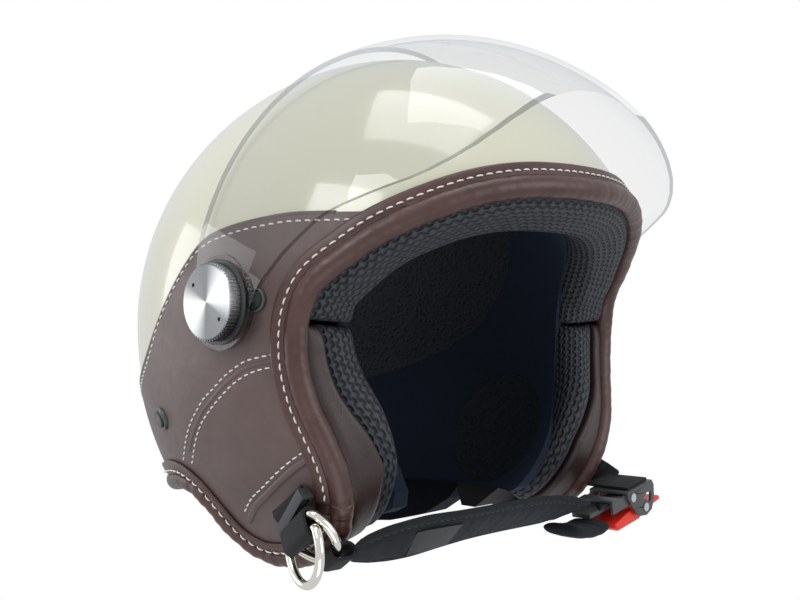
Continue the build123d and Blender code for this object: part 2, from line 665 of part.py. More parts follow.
PIN_A, PIN_C = 5.5, -3.2
teeth = [(-36, 3.0), (25, 3.0)]
a = 24.0
while a > -6:
    teeth += [(a, 5.3), (a - 0.3, 4.6), (a - 1.8, 5.3)]
    a -= 2.0
teeth += [(-36, 5.3)]
with BuildPart() as ratchet_tongue:
    add(buckle_bar(teeth, -TONGUE_W / 2, TONGUE_W / 2))
ratchet_tongue.part.label = "ratchet_tongue"
export_step(ratchet_tongue.part, "parts/ratchet_tongue.step")

cheek_side = [(-9, 9.0), (15, 9.0), (16.5, 6), (15.5, -1), (12, -6.5), (6.5, -8), (0, -6.5), (-5, -1), (-9, 5.6)]
with BuildPart() as buckle_frame:
    add(buckle_bar([(-9, 7.4), (15, 7.4), (15, 9.0), (-9, 9.0)], -FRAME_W / 2, FRAME_W / 2))
    for b in (-FRAME_W / 2, FRAME_W / 2 - 1.5):
        add(buckle_bar(cheek_side, b, b + 1.5))
    add(buckle_bar([(4, -3.0), (4.5, 1.5), (9, 3.6), (13, 3.0), (12, -1.5)], -20, 20) - buckle_rod(PIN_A, PIN_C, 4.2, -20, 20),
        mode=Mode.SUBTRACT)
    add(buckle_rod(PIN_A, PIN_C, 1.55, -20, 20), mode=Mode.SUBTRACT)
    add(buckle_rod(-5.6, 5.4, 1.55, -20, 20), mode=Mode.SUBTRACT)
buckle_frame.part.label = "buckle_frame"
export_step(buckle_frame.part, "parts/buckle_frame.step")

link = [(-22, 1.2), (-22, 6.5), (-18, 7.6), (-3, 7.2), (-1.8, 5.0), (-4, 2.0), (-9, 1.2)]
with BuildPart() as buckle_links:
    for b in (-FRAME_W / 2 + 1.6, FRAME_W / 2 - 3.1):
        add(buckle_bar(link, b, b + 1.5))
    add(buckle_bar([(-22, 7.1), (-16, 7.1), (-16, 8.3), (-22, 8.3)], -FRAME_W / 2 + 1.6, FRAME_W / 2 - 1.6))
    add(buckle_bar([(-22, 5.0), (-20.6, 5.0), (-20.6, 7.2), (-22, 7.2)], -FRAME_W / 2 + 1.6, -FRAME_W / 2 + 3.1))
    add(buckle_rod(-5.6, 5.4, 1.55, -20, 20), mode=Mode.SUBTRACT)
buckle_links.part.label = "buckle_links"
export_step(buckle_links.part, "parts/buckle_links.step")

with BuildPart() as buckle_pins:
    add(buckle_rod(PIN_A, PIN_C, 1.5, -FRAME_W / 2 - 0.2, FRAME_W / 2 + 0.2))
    for b in (-FRAME_W / 2 - 1.0, FRAME_W / 2 + 0.05):
        add(buckle_rod(PIN_A, PIN_C, 2.3, b, b + 0.95))
        add(buckle_rod(-5.6, 5.4, 2.3, b, b + 0.95))
    for b in (-FRAME_W / 2 - 0.2, FRAME_W / 2 - 3.2):
        add(buckle_rod(-5.6, 5.4, 1.5, b, b + 3.4))
buckle_pins.part.label = "buckle_pins"
export_step(buckle_pins.part, "parts/buckle_pins.step")

lever_side = [(-17, -9.4), (-19, -7.5), (-18, -5.0), (-3, -2.0), (-1.5, 1.2), (1.0, 1.2), (3.5, 0.2), (8.2, 0.0), (9.6, -2.4),
              (13, -3.0), (26, -3.6), (26, -5.6), (13, -6.4), (9, -7.6), (4, -9.6)]
with BuildPart() as buckle_lever:
    add(buckle_bar(lever_side, -8.8, 8.8))
    add(buckle_rod(PIN_A, PIN_C, 1.56, -20, 20), mode=Mode.SUBTRACT)
buckle_lever.part.label = "buckle_lever"
export_step(buckle_lever.part, "parts/buckle_lever.step")

cover_pts = [at(41, -73, -102.3), at(50, -73.5, -104.2), at(60, -73.5, -104.6), at(70, -73, -102.8)]
with BuildPart() as strap_end_cover:
    add(strip(cover_pts, [(0, -1, 0)] * 4, 23.0, 6.5))
    add(strip([at(44, -72.5, -97.5), at(56, -72.8, -99.6), at(66, -73, -100.6)], [(0, -1, 0.1)] * 3, 21.0, 3.0))
    add(ratchet_tongue.part, mode=Mode.SUBTRACT)
    add(chin_strap_pad.part, mode=Mode.SUBTRACT)
    add(hollow, mode=Mode.SUBTRACT)
strap_end_cover.part.label = "strap_end_cover"
export_step(strap_end_cover.part, "parts/strap_end_cover.step")

left_pts = web_path(1) + [at(104.4, -41, -79.5), at(105.4, -47, -81.5), at(105, -53, -83.2), at(103.2, -57.5, -84.0),
                          tuple(bk(4, 13.0, 9.85)), tuple(bk(3.5, 4.0, 9.85)), tuple(bk(3.5, -10.0, 9.85))]
left_across = [tuple(U_SLOT[1])] * 5 + [(0.15, -0.6, 0.75), (0.4, -0.3, 0.75), (0.7, -0.15, 0.55), (0.92, 0, 0.35),
                                        (0.98, 0, 0.199), (0.98, 0, 0.199), (0.98, 0, 0.199)]
with BuildPart() as anchor_strap_left:
    add(strip(left_pts, left_across, 19.0, WEB_T))
    add(rod_on(*ANCHORS[1], 2.6, -12, 0), mode=Mode.SUBTRACT)
anchor_strap_left.part.label = "anchor_strap_left"
export_step(anchor_strap_left.part, "parts/anchor_strap_left.step")

# ---- strap anchors inside the shell ------------------------------------------------------
with BuildPart() as anchor_washers:
    for s in (-1, 1):
        add(rod_on(*ANCHORS[s], 7.0, -8.6, -7.6) - rod_on(*ANCHORS[s], 2.55, -12, 0))
anchor_washers.part.label = "anchor_washers"
export_step(anchor_washers.part, "parts/anchor_washers.step")
with BuildPart() as anchor_rivets:
    for s in (-1, 1):
        add(rod_on(*ANCHORS[s], 2.5, -9.9, -0.1) + rod_on(*ANCHORS[s], 4.4, -9.9, -8.65))
anchor_rivets.part.label = "anchor_rivets"
export_step(anchor_rivets.part, "parts/anchor_rivets.step")
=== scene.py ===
import bpy, json, math, random
import numpy as np
from mathutils import Matrix, Vector

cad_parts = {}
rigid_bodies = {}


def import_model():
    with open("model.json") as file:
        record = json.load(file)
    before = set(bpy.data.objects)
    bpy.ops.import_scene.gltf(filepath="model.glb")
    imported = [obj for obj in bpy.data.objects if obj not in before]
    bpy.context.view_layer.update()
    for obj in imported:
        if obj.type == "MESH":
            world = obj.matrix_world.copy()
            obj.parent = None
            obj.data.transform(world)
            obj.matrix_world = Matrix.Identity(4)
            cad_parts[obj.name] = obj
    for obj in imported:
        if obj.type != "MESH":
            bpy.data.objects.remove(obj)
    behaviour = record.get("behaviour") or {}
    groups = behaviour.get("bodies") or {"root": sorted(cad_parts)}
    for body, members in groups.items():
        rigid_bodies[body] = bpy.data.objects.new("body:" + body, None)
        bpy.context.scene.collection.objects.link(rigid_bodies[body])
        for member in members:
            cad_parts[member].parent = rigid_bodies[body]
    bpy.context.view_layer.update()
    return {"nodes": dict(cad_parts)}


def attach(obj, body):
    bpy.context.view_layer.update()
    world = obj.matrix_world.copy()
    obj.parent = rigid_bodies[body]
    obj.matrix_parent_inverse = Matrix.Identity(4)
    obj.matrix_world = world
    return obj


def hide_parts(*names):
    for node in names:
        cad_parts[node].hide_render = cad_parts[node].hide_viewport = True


for _o in list(bpy.data.objects):
    bpy.data.objects.remove(_o)
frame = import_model()
nodes = frame["nodes"]

# ---------------------------------------------------------------- the form (mm)
A, BF, BR, CU, CL = 124.0, 133.8, 142.9, 133.8, 148.7
Y0, Z0 = -8.5, 111.0
OFF = np.array([0.0, Y0, Z0])


def semi(y, z, t=0.0):
    return A - t, (BF if y < 0 else BR) - t, (CU if z > 0 else CL) - t


def skin_x(y, z, t=0.0):
    a, b, c = semi(y, z, t)
    return a * math.sqrt(max(0.0, 1 - (y / b) ** 2 - (z / c) ** 2))


def normal(p):
    a, b, c = semi(p[1], p[2])
    n = np.array([p[0] / a ** 2, p[1] / b ** 2, p[2] / c ** 2])
    return n / np.linalg.norm(n)


def unit(v):
    return v / (np.linalg.norm(v) + 1e-12)


def on_form(p, t=0.0):
    """Scale a point along the ray from the centre until it lies on the form at depth t."""
    p = np.array(p, float)
    a, b, c = semi(p[1], p[2], t)
    return p / math.sqrt((p[0] / a) ** 2 + (p[1] / b) ** 2 + (p[2] / c) ** 2)


def curve_dense(pts, closed=False, per=24):
    """Centripetal Catmull-Rom through the points."""
    P = [np.array(p, float) for p in pts]
    n = len(P)
    out = []
    rng = range(n) if closed else range(n - 1)
    for i in rng:
        if closed:
            p0, p1, p2, p3 = P[(i - 1) % n], P[i], P[(i + 1) % n], P[(i + 2) % n]
        else:
            p1, p2 = P[i], P[i + 1]
            p0 = P[i - 1] if i > 0 else 2 * p1 - p2
            p3 = P[i + 2] if i + 2 < n else 2 * p2 - p1
        t0 = 0.0
        t1 = t0 + max(np.linalg.norm(p1 - p0), 1e-6) ** 0.5
        t2 = t1 + max(np.linalg.norm(p2 - p1), 1e-6) ** 0.5
        t3 = t2 + max(np.linalg.norm(p3 - p2), 1e-6) ** 0.5
        for k in range(per):
            t = t1 + (t2 - t1) * k / per
            a1 = (t1 - t) / (t1 - t0) * p0 + (t - t0) / (t1 - t0) * p1
            a2 = (t2 - t) / (t2 - t1) * p1 + (t - t1) / (t2 - t1) * p2
            a3 = (t3 - t) / (t3 - t2) * p2 + (t - t2) / (t3 - t2) * p3
            b1 = (t2 - t) / (t2 - t0) * a1 + (t - t0) / (t2 - t0) * a2
            b2 = (t3 - t) / (t3 - t1) * a2 + (t - t1) / (t3 - t1) * a3
            out.append((t2 - t) / (t2 - t1) * b1 + (t - t1) / (t2 - t1) * b2)
    if not closed:
        out.append(P[-1])
    return np.array(out)


def even(path, step=None, n=None, closed=False):
    """Points at equal distance along a dense path."""
    Q = np.vstack([path, path[:1]]) if closed else path
    d = np.concatenate([[0], np.cumsum(np.linalg.norm(np.diff(Q, axis=0), axis=1))])
    if n is None:
        n = max(2, int(round(d[-1] / step)) + (0 if closed else 1))
    s = np.linspace(0, d[-1], n + 1 if closed else n)
    R = np.stack([np.interp(s, d, Q[:, k]) for k in range(Q.shape[1])], axis=1)
    return R[:-1] if closed else R


def smooth(a, it=3, closed=False):
    a = np.array(a, float)
    for _ in range(it):
        b = a.copy()
        if closed:
            b = (np.roll(a, 1, 0) + 2 * a + np.roll(a, -1, 0)) / 4
        else:
            b[1:-1] = (a[:-2] + 2 * a[1:-1] + a[2:]) / 4
        a = b
    return a


# ---------------------------------------------------------------- mesh helpers
def make(name, verts, faces, uvs=None, smooth_shade=True, mats=None, fmat=None):
    me = bpy.data.meshes.new(name)
    co = (np.array(verts) + OFF) * 0.001
    me.from_pydata(co.tolist(), [], [tuple(int(i) for i in f) for f in faces])
    if uvs is not None:
        lay = me.uv_layers.new(name="uv")
        u = np.array(uvs)
        idx = np.zeros(len(me.loops), dtype=np.int32)
        me.loops.foreach_get("vertex_index", idx)
        lay.data.foreach_set("uv", u[idx].ravel())
    me.update()
    if smooth_shade:
        me.polygons.foreach_set("use_smooth", [True] * len(me.polygons))
    o = bpy.data.objects.new(name, me)
    bpy.context.scene.collection.objects.link(o)
    if mats:
        for m in mats:
            me.materials.append(m)
        if fmat is not None:
            me.polygons.foreach_set("material_index", fmat)
    return o


def fix_normals(o):
    import bmesh
    bm = bmesh.new()
    bm.from_mesh(o.data)
    bmesh.ops.recalc_face_normals(bm, faces=bm.faces)
    bm.to_mesh(o.data)
    bm.free()
    return o


def outward(o, centre=(0.0, 0.0, 0.0)):
    c = (np.array(centre) + OFF) * 0.001
    tot = sum(f.normal.dot(Vector(f.center) - Vector(c)) for f in o.data.polygons)
    if tot < 0:
        o.data.flip_normals()
    return o


def grid(name, G, mat, closed_u=False, closed_v=False, caps=False, uv=None, flip=False):
    """G is rows x columns x 3. Rows run along the piece, columns round its section."""
    n, m = G.shape[:2]
    V = G.reshape(-1, 3)
    faces = []
    for i in range(n if closed_u else n - 1):
        i2 = (i + 1) % n
        for j in range(m if closed_v else m - 1):
            j2 = (j + 1) % m
            f = (i * m + j, i * m + j2, i2 * m + j2, i2 * m + j)
            faces.append(f[::-1] if flip else f)
    if caps and closed_v and not closed_u:
        faces.append(tuple(range(m))[::-1])
        faces.append(tuple((n - 1) * m + k for k in range(m)))
    uvs = uv.reshape(-1, 2) if uv is not None else None
    return fix_normals(make(name, V, faces, uvs, mats=[mat]))


def uv_grid(G):
    """Millimetre coordinates along and round a swept grid."""
    n, m = G.shape[:2]
    du = np.concatenate([[0], np.cumsum(np.linalg.norm(np.diff(G.mean(axis=1), axis=0), axis=1))])
    dv = np.concatenate([[0], np.cumsum(np.linalg.norm(np.diff(G[n // 2], axis=0), axis=1))])
    U, W = np.meshgrid(du, dv, indexing="ij")
    return np.stack([U * 0.01, W * 0.01], axis=2)


def solid_mat(name, color, rough=0.5, metal=0.0, spec=0.5, coat=0.0):
    m = bpy.data.materials.new(name)
    m.use_nodes = True
    b = m.node_tree.nodes["Principled BSDF"]
    b.inputs["Base Color"].default_value = (*color, 1)
    b.inputs["Roughness"].default_value = rough
    b.inputs["Metallic"].default_value = metal
    b.inputs["Specular IOR Level"].default_value = spec
    b.inputs["Coat Weight"].default_value = coat
    return m


def nd(m, kind, **kw):
    n = m.node_tree.nodes.new(kind)
    for k, v in kw.items():
        if k in n.inputs.keys():
            n.inputs[k].default_value = v
        else:
            setattr(n, k, v)
    return n


def ln(m, a, ao, b, bi):
    m.node_tree.links.new(a.outputs[ao], b.inputs[bi])


# ---------------------------------------------------------------- materials
def m_shell():
    m = solid_mat("shell", (0.66, 0.645, 0.51), 0.16, 0, 0.5, 0.6)
    b = m.node_tree.nodes["Principled BSDF"]
    b.inputs["Coat Roughness"].default_value = 0.03
    tc = nd(m, "ShaderNodeTexCoord")
    no = nd(m, "ShaderNodeTexNoise", Scale=900.0, Detail=2.0)
    bu = nd(m, "ShaderNodeBump", Strength=0.02, Distance=0.0002)
    ln(m, tc, "Object", no, "Vector")
    ln(m, no, "Fac", bu, "Height")
    ln(m, bu, "Normal", b, "Normal")
    return m


def m_leather(name, c0, c1, rough=0.42):
    m = solid_mat(name, c0, rough)
    b = m.node_tree.nodes["Principled BSDF"]
    tc = nd(m, "ShaderNodeTexCoord")
    big = nd(m, "ShaderNodeTexNoise", Scale=38.0, Detail=5.0, Roughness=0.6)
    vor = nd(m, "ShaderNodeTexVoronoi", Scale=1150.0, feature="DISTANCE_TO_EDGE")
    fine = nd(m, "ShaderNodeTexNoise", Scale=2100.0, Detail=3.0)
    mid = nd(m, "ShaderNodeTexNoise", Scale=190.0, Detail=4.0)
    ramp = nd(m, "ShaderNodeValToRGB")
    ramp.color_ramp.elements[0].position = 0.35
    ramp.color_ramp.elements[0].color = (*c0, 1)
    ramp.color_ramp.elements[1].position = 0.70
    ramp.color_ramp.elements[1].color = (*c1, 1)
    for n in (big, vor, fine, mid):
        ln(m, tc, "Object", n, "Vector")
    ln(m, big, "Fac", ramp, "Fac")
    ln(m, ramp, "Color", b, "Base Color")
    mul = nd(m, "ShaderNodeMath", operation="MULTIPLY_ADD")
    mul.inputs[1].default_value = 1.6
    ln(m, vor, "Distance", mul, 0)
    ln(m, fine, "Fac", mul, 2)
    b1 = nd(m, "ShaderNodeBump", Strength=0.22, Distance=0.00025)
    ln(m, mul, 0, b1, "Height")
    b2 = nd(m, "ShaderNodeBump", Strength=0.25, Distance=0.0006)
    ln(m, mid, "Fac", b2, "Height")
    ln(m, b1, "Normal", b2, "Normal")
    ln(m, b2, "Normal", b, "Normal")
    rr = nd(m, "ShaderNodeMapRange")
    rr.inputs["To Min"].default_value = rough - 0.07
    rr.inputs["To Max"].default_value = rough + 0.12
    ln(m, mid, "Fac", rr, "Value")
    ln(m, rr, "Result", b, "Roughness")
    return m


def m_knit(name, c, scale=420.0, strength=0.35):
    m = solid_mat(name, c, 0.92, 0, 0.25)
    b = m.node_tree.nodes["Principled BSDF"]
    b.inputs["Sheen Weight"].default_value = 0.35
    b.inputs["Sheen Roughness"].default_value = 0.5
    b.inputs["Sheen Tint"].default_value = (c[0] * 6 + 0.02, c[1] * 6 + 0.02, c[2] * 6 + 0.02, 1)
    tc = nd(m, "ShaderNodeTexCoord")
    no = nd(m, "ShaderNodeTexNoise", Scale=scale * 5, Detail=4.0)
    wa = nd(m, "ShaderNodeTexWave", Scale=scale, Distortion=1.5)
    ln(m, tc, "Object", no, "Vector")
    ln(m, tc, "Object", wa, "Vector")
    mx = nd(m, "ShaderNodeMath", operation="ADD")
    ln(m, no, "Fac", mx, 0)
    ln(m, wa, "Fac", mx, 1)
    bu = nd(m, "ShaderNodeBump", Strength=strength, Distance=0.0003)
    ln(m, mx, 0, bu, "Height")
    ln(m, bu, "Normal", b, "Normal")
    return m


def m_mesh(name, use_uv=True, cell=26.0):
    """Open spacer mesh: rounded holes in staggered rows, in the piece's own coordinates."""
    m = solid_mat(name, (0.030, 0.033, 0.040), 0.62, 0, 0.4)
    b = m.node_tree.nodes["Principled BSDF"]
    tc = nd(m, "ShaderNodeTexCoord")
    src = "UV" if use_uv else "Object"
    if use_uv:
        mp = nd(m, "ShaderNodeMapping")
        mp.inputs["Scale"].default_value = (cell * 0.85, cell * 1.3, 1)
        ln(m, tc, src, mp, "Vector")
        vor = nd(m, "ShaderNodeTexVoronoi", Scale=1.0, Randomness=0.12, voronoi_dimensions="2D")
        sep = nd(m, "ShaderNodeSeparateXYZ")
        ln(m, mp, "Vector", sep, "Vector")
        fl = nd(m, "ShaderNodeMath", operation="FLOOR")
        ln(m, sep, "Y", fl, 0)
        md = nd(m, "ShaderNodeMath", operation="MULTIPLY_ADD")
        ln(m, fl, 0, md, 0)
        md.inputs[1].default_value = 0.5
        ln(m, sep, "X", md, 2)
        cb = nd(m, "ShaderNodeCombineXYZ")
        ln(m, md, 0, cb, "X")
        ln(m, sep, "Y", cb, "Y")
        ln(m, cb, "Vector", vor, "Vector")
    else:
        vor = nd(m, "ShaderNodeTexVoronoi", Scale=420.0, Randomness=0.8)
        ln(m, tc, src, vor, "Vector")
    ramp = nd(m, "ShaderNodeValToRGB")
    ramp.color_ramp.elements[0].position = 0.20
    ramp.color_ramp.elements[0].color = (0, 0, 0, 1)
    ramp.color_ramp.elements[1].position = 0.46
    ramp.color_ramp.elements[1].color = (1, 1, 1, 1)
    ln(m, vor, "Distance", ramp, "Fac")
    mix = nd(m, "ShaderNodeMix", data_type="RGBA")
    mix.inputs[6].default_value = (0.0015, 0.0017, 0.002, 1)
    mix.inputs[7].default_value = (0.040, 0.044, 0.054, 1)
    ln(m, ramp, "Color", mix, 0)
    m.node_tree.links.new(mix.outputs[2], b.inputs["Base Color"])
    if not use_uv:
        mix.inputs[6].default_value = (0.006, 0.007, 0.009, 1)
        mix.inputs[7].default_value = (0.016, 0.018, 0.024, 1)
    bu = nd(m, "ShaderNodeBump", Strength=0.9 if use_uv else 0.4, Distance=0.0014 if use_uv else 0.0006)
    ln(m, ramp, "Color", bu, "Height")
    fine = nd(m, "ShaderNodeTexNoise", Scale=1800.0, Detail=3.0)
    ln(m, tc, "Object", fine, "Vector")
    bf = nd(m, "ShaderNodeBump", Strength=0.3, Distance=0.0002)
    ln(m, fine, "Fac", bf, "Height")
    ln(m, bu, "Normal", bf, "Normal")
    ln(m, bf, "Normal", b, "Normal")
    return m


def m_webbing(name, c=(0.012, 0.013, 0.015), ribs=52.0):
    m = solid_mat(name, c, 0.72, 0, 0.35)
    b = m.node_tree.nodes["Principled BSDF"]
    tc = nd(m, "ShaderNodeTexCoord")
    mp = nd(m, "ShaderNodeMapping")
    ln(m, tc, "UV", mp, "Vector")
    wa = nd(m, "ShaderNodeTexWave", Scale=ribs, Distortion=0.6, bands_direction="X")
    w2 = nd(m, "ShaderNodeTexWave", Scale=ribs * 0.7, Distortion=0.8, bands_direction="Y")
    no = nd(m, "ShaderNodeTexNoise", Scale=900.0, Detail=3.0)
    for n in (wa, w2):
        ln(m, mp, "Vector", n, "Vector")
    ln(m, tc, "Object", no, "Vector")
    ad = nd(m, "ShaderNodeMath", operation="MULTIPLY_ADD")
    ad.inputs[1].default_value = 0.5
    ln(m, w2, "Fac", ad, 0)
    ln(m, wa, "Fac", ad, 2)
    a2 = nd(m, "ShaderNodeMath", operation="MULTIPLY_ADD")
    a2.inputs[1].default_value = 0.5
    ln(m, no, "Fac", a2, 0)
    ln(m, ad, 0, a2, 2)
    bu = nd(m, "ShaderNodeBump", Strength=0.6, Distance=0.0005)
    ln(m, a2, 0, bu, "Height")
    ln(m, bu, "Normal", b, "Normal")
    mx = nd(m, "ShaderNodeMix", data_type="RGBA")
    mx.inputs[6].default_value = (c[0] * 0.6, c[1] * 0.6, c[2] * 0.6, 1)
    mx.inputs[7].default_value = (c[0] * 2.6, c[1] * 2.6, c[2] * 2.7, 1)
    ln(m, wa, "Fac", mx, 0)
    m.node_tree.links.new(mx.outputs[2], b.inputs["Base Color"])
    return m


def m_plastic(name, c, rough=0.4, grain=0.1):
    m = solid_mat(name, c, rough)
    b = m.node_tree.nodes["Principled BSDF"]
    tc = nd(m, "ShaderNodeTexCoord")
    no = nd(m, "ShaderNodeTexNoise", Scale=1500.0, Detail=3.0)
    ln(m, tc, "Object", no, "Vector")
    bu = nd(m, "ShaderNodeBump", Strength=grain, Distance=0.0002)
    ln(m, no, "Fac", bu, "Height")
    ln(m, bu, "Normal", b, "Normal")
    return m


def m_spun(name):
    m = solid_mat(name, (0.80, 0.81, 0.82), 0.27, 1.0)
    b = m.node_tree.nodes["Principled BSDF"]
    b.inputs["Anisotropic"].default_value = 0.85
    tg = nd(m, "ShaderNodeTangent", direction_type="RADIAL", axis="X")
    ln(m, tg, "Tangent", b, "Tangent")
    tc = nd(m, "ShaderNodeTexCoord")
    mp = nd(m, "ShaderNodeMapping")
    mp.inputs["Location"].default_value = (0, -(-17.9 + Y0) * 0.001, -(9.2 + Z0) * 0.001)
    mp.inputs["Scale"].default_value = (0, 1, 1)
    ln(m, tc, "Object", mp, "Vector")
    le = nd(m, "ShaderNodeVectorMath", operation="LENGTH")
    ln(m, mp, "Vector", le, 0)
    sp = nd(m, "ShaderNodeSeparateXYZ")
    ln(m, mp, "Vector", sp, "Vector")
    # painted reflection: the base colour swings between dark and light sectors around the knob's axis, a painted
    # bow-tie highlight standing in for the spun face's anisotropic reflection
    at2 = nd(m, "ShaderNodeMath", operation="ARCTAN2")
    ln(m, sp, "Z", at2, 0)
    ln(m, sp, "Y", at2, 1)
    ma = nd(m, "ShaderNodeMath", operation="MULTIPLY_ADD")
    ln(m, at2, 0, ma, 0)
    ma.inputs[1].default_value = 2.0
    ma.inputs[2].default_value = 1.0
    co = nd(m, "ShaderNodeMath", operation="COSINE")
    ln(m, ma, 0, co, 0)
    mr = nd(m, "ShaderNodeMapRange")
    mr.inputs["From Min"].default_value = -1.0
    mr.inputs["From Max"].default_value = 1.0
    ln(m, co, 0, mr, "Value")
    bowtie_reflection_ramp = nd(m, "ShaderNodeValToRGB")
    bowtie_reflection_ramp.color_ramp.elements[0].position = 0.25
    bowtie_reflection_ramp.color_ramp.elements[0].color = (0.16, 0.165, 0.17, 1)
    bowtie_reflection_ramp.color_ramp.elements[1].position = 0.95
    bowtie_reflection_ramp.color_ramp.elements[1].color = (0.60, 0.61, 0.61, 1)
    ln(m, mr, "Result", bowtie_reflection_ramp, "Fac")
    ln(m, bowtie_reflection_ramp, "Color", b, "Base Color")
    no = nd(m, "ShaderNodeTexNoise", Scale=5200.0, Detail=3.0, noise_dimensions="1D")
    ln(m, le, "Value", no, "W")
    bu = nd(m, "ShaderNodeBump", Strength=0.10, Distance=0.00006)
    ln(m, no, "Fac", bu, "Height")
    ln(m, bu, "Normal", b, "Normal")
    return m


def m_metal(name, c, rough):
    m = solid_mat(name, c, rough, 1.0)
    b = m.node_tree.nodes["Principled BSDF"]
    tc = nd(m, "ShaderNodeTexCoord")
    no = nd(m, "ShaderNodeTexNoise", Scale=500.0, Detail=3.0)
    ln(m, tc, "Object", no, "Vector")
    rr = nd(m, "ShaderNodeMapRange")
    rr.inputs["To Min"].default_value = max(0.02, rough - 0.05)
    rr.inputs["To Max"].default_value = rough + 0.08
    ln(m, no, "Fac", rr, "Value")
    ln(m, rr, "Result", b, "Roughness")
    return m


def m_clear(name, tint, mirror=1.0):
    m = bpy.data.materials.new(name)
    m.use_nodes = True
    t = m.node_tree
    t.nodes.clear()
    out = t.nodes.new("ShaderNodeOutputMaterial")
    tr = t.nodes.new("ShaderNodeBsdfTransparent")
    tr.inputs["Color"].default_value = (*tint, 1)
    gl = t.nodes.new("ShaderNodeBsdfGlossy")
    gl.inputs["Roughness"].default_value = 0.02
    gl.inputs["Color"].default_value = (1, 1, 1, 1)
    fr = t.nodes.new("ShaderNodeFresnel")
    fr.inputs["IOR"].default_value = 1.45
    ge = t.nodes.new("ShaderNodeNewGeometry")
    inv = t.nodes.new("ShaderNodeMath")
    inv.operation = "SUBTRACT"
    inv.inputs[0].default_value = mirror
    t.links.new(ge.outputs["Backfacing"], inv.inputs[1])
    cl = t.nodes.new("ShaderNodeMath")
    cl.operation = "MAXIMUM"
    cl.inputs[1].default_value = 0.0
    t.links.new(inv.outputs[0], cl.inputs[0])
    mu = t.nodes.new("ShaderNodeMath")
    mu.operation = "MULTIPLY"
    mi = t.nodes.new("ShaderNodeMixShader")
    t.links.new(fr.outputs[0], mu.inputs[0])
    t.links.new(cl.outputs[0], mu.inputs[1])
    t.links.new(mu.outputs[0], mi.inputs[0])
    t.links.new(tr.outputs[0], mi.inputs[1])
    t.links.new(gl.outputs[0], mi.inputs[2])
    t.links.new(mi.outputs[0], out.inputs[0])
    return m


SHELL = m_shell()
LEATHER = m_leather("leather_panel", (0.092, 0.060, 0.055), (0.122, 0.082, 0.076), 0.44)
ROLL = m_leather("leather_roll", (0.054, 0.021, 0.016), (0.088, 0.041, 0.034), 0.36)
# painted shade: the roll leather darkened to about 40%, standing in for the shadow on the flap between roll and pads
FLAP_PAINTED_SHADE = m_leather("leather_flap_painted_shade", (0.022, 0.0095, 0.008), (0.034, 0.016, 0.014), 0.40)
STITCH = m_knit("stitch", (0.80, 0.78, 0.74), 900.0, 0.3)
THREAD = m_knit("strap_thread", (0.055, 0.058, 0.062), 900.0, 0.3)
MESH = m_mesh("mesh_pad")
MESH3 = m_mesh("mesh_lining", use_uv=False)
NAVY = m_knit("navy_knit", (0.010, 0.015, 0.029), 500.0, 0.25)
NECKM = m_knit("neck_knit", (0.010, 0.012, 0.018), 500.0, 0.3)
FOAM = m_plastic("foam", (0.03, 0.03, 0.032), 0.8, 0.4)
VISOR = m_clear("visor", (0.945, 0.948, 0.948), 0.9)
SPUN = m_spun("spun")
STEEL = m_metal("steel", (0.62, 0.62, 0.60), 0.25)
NICKEL = m_metal("nickel", (0.80, 0.77, 0.68), 0.10)
DARK = m_plastic("dark_plastic", (0.040, 0.043, 0.044), 0.42, 0.15)
BUCK = m_plastic("buckle_grey", (0.060, 0.064, 0.064), 0.38, 0.15)
RED = m_plastic("red_plastic", (0.83, 0.028, 0.012), 0.32, 0.08)
RUB = m_plastic("rubber", (0.030, 0.033, 0.037), 0.55, 0.3)
WEB = m_webbing("webbing")
STRAP = m_knit("strap_cloth", (0.013, 0.015, 0.018), 700.0, 0.3)
SATIN = m_webbing("label_satin", (0.010, 0.010, 0.012), 140.0)
SATIN.node_tree.nodes["Principled BSDF"].inputs["Roughness"].default_value = 0.4
EDGE = m_clear("visor_edge", (0.55, 0.56, 0.57), 1.0)

cad_mats = {
    "outer_shell": SHELL, "eps_liner": FOAM, "leather_upper_right": LEATHER, "leather_upper_left": LEATHER,
    "leather_lower_right": LEATHER, "leather_lower_left": LEATHER, "leather_corner_right": LEATHER, "leather_corner_left": LEATHER,
    "crown_pad_right": MESH3, "crown_pad_left": MESH3, "ear_mesh_right": MESH3, "ear_mesh_left": MESH3,
    "neck_lining": NAVY, "side_lining_right": NAVY, "side_lining_left": NAVY, "neck_roll": NECKM, "visor": VISOR,
    "pivot_base_washers": RUB, "pivot_bushes": DARK, "knob_washers": DARK, "pivot_studs": STEEL, "pivot_inserts": STEEL,
    "side_knob_right": SPUN, "side_knob_left": SPUN, "snap_rings": DARK, "snap_studs": DARK,
    "anchor_strap_right": WEB, "anchor_strap_left": WEB, "strap_keeper": RUB, "d_ring_outer": NICKEL, "d_ring_inner": NICKEL,
    "chin_strap_core": WEB, "chin_strap_pad": STRAP, "strap_label": SATIN, "strap_end_cover": STRAP, "ratchet_tongue": BUCK,
    "buckle_frame": BUCK, "buckle_links": BUCK, "buckle_pins": STEEL, "buckle_lever": RED, "anchor_washers": STEEL,
    "anchor_rivets": STEEL, "face_edge_roll": ROLL, "lower_edge_roll": ROLL, "cheek_flap_right": ROLL, "cheek_flap_left": ROLL,
    "brow_pad": MESH3, "cheek_pad_right": MESH3, "cheek_pad_left": MESH3}
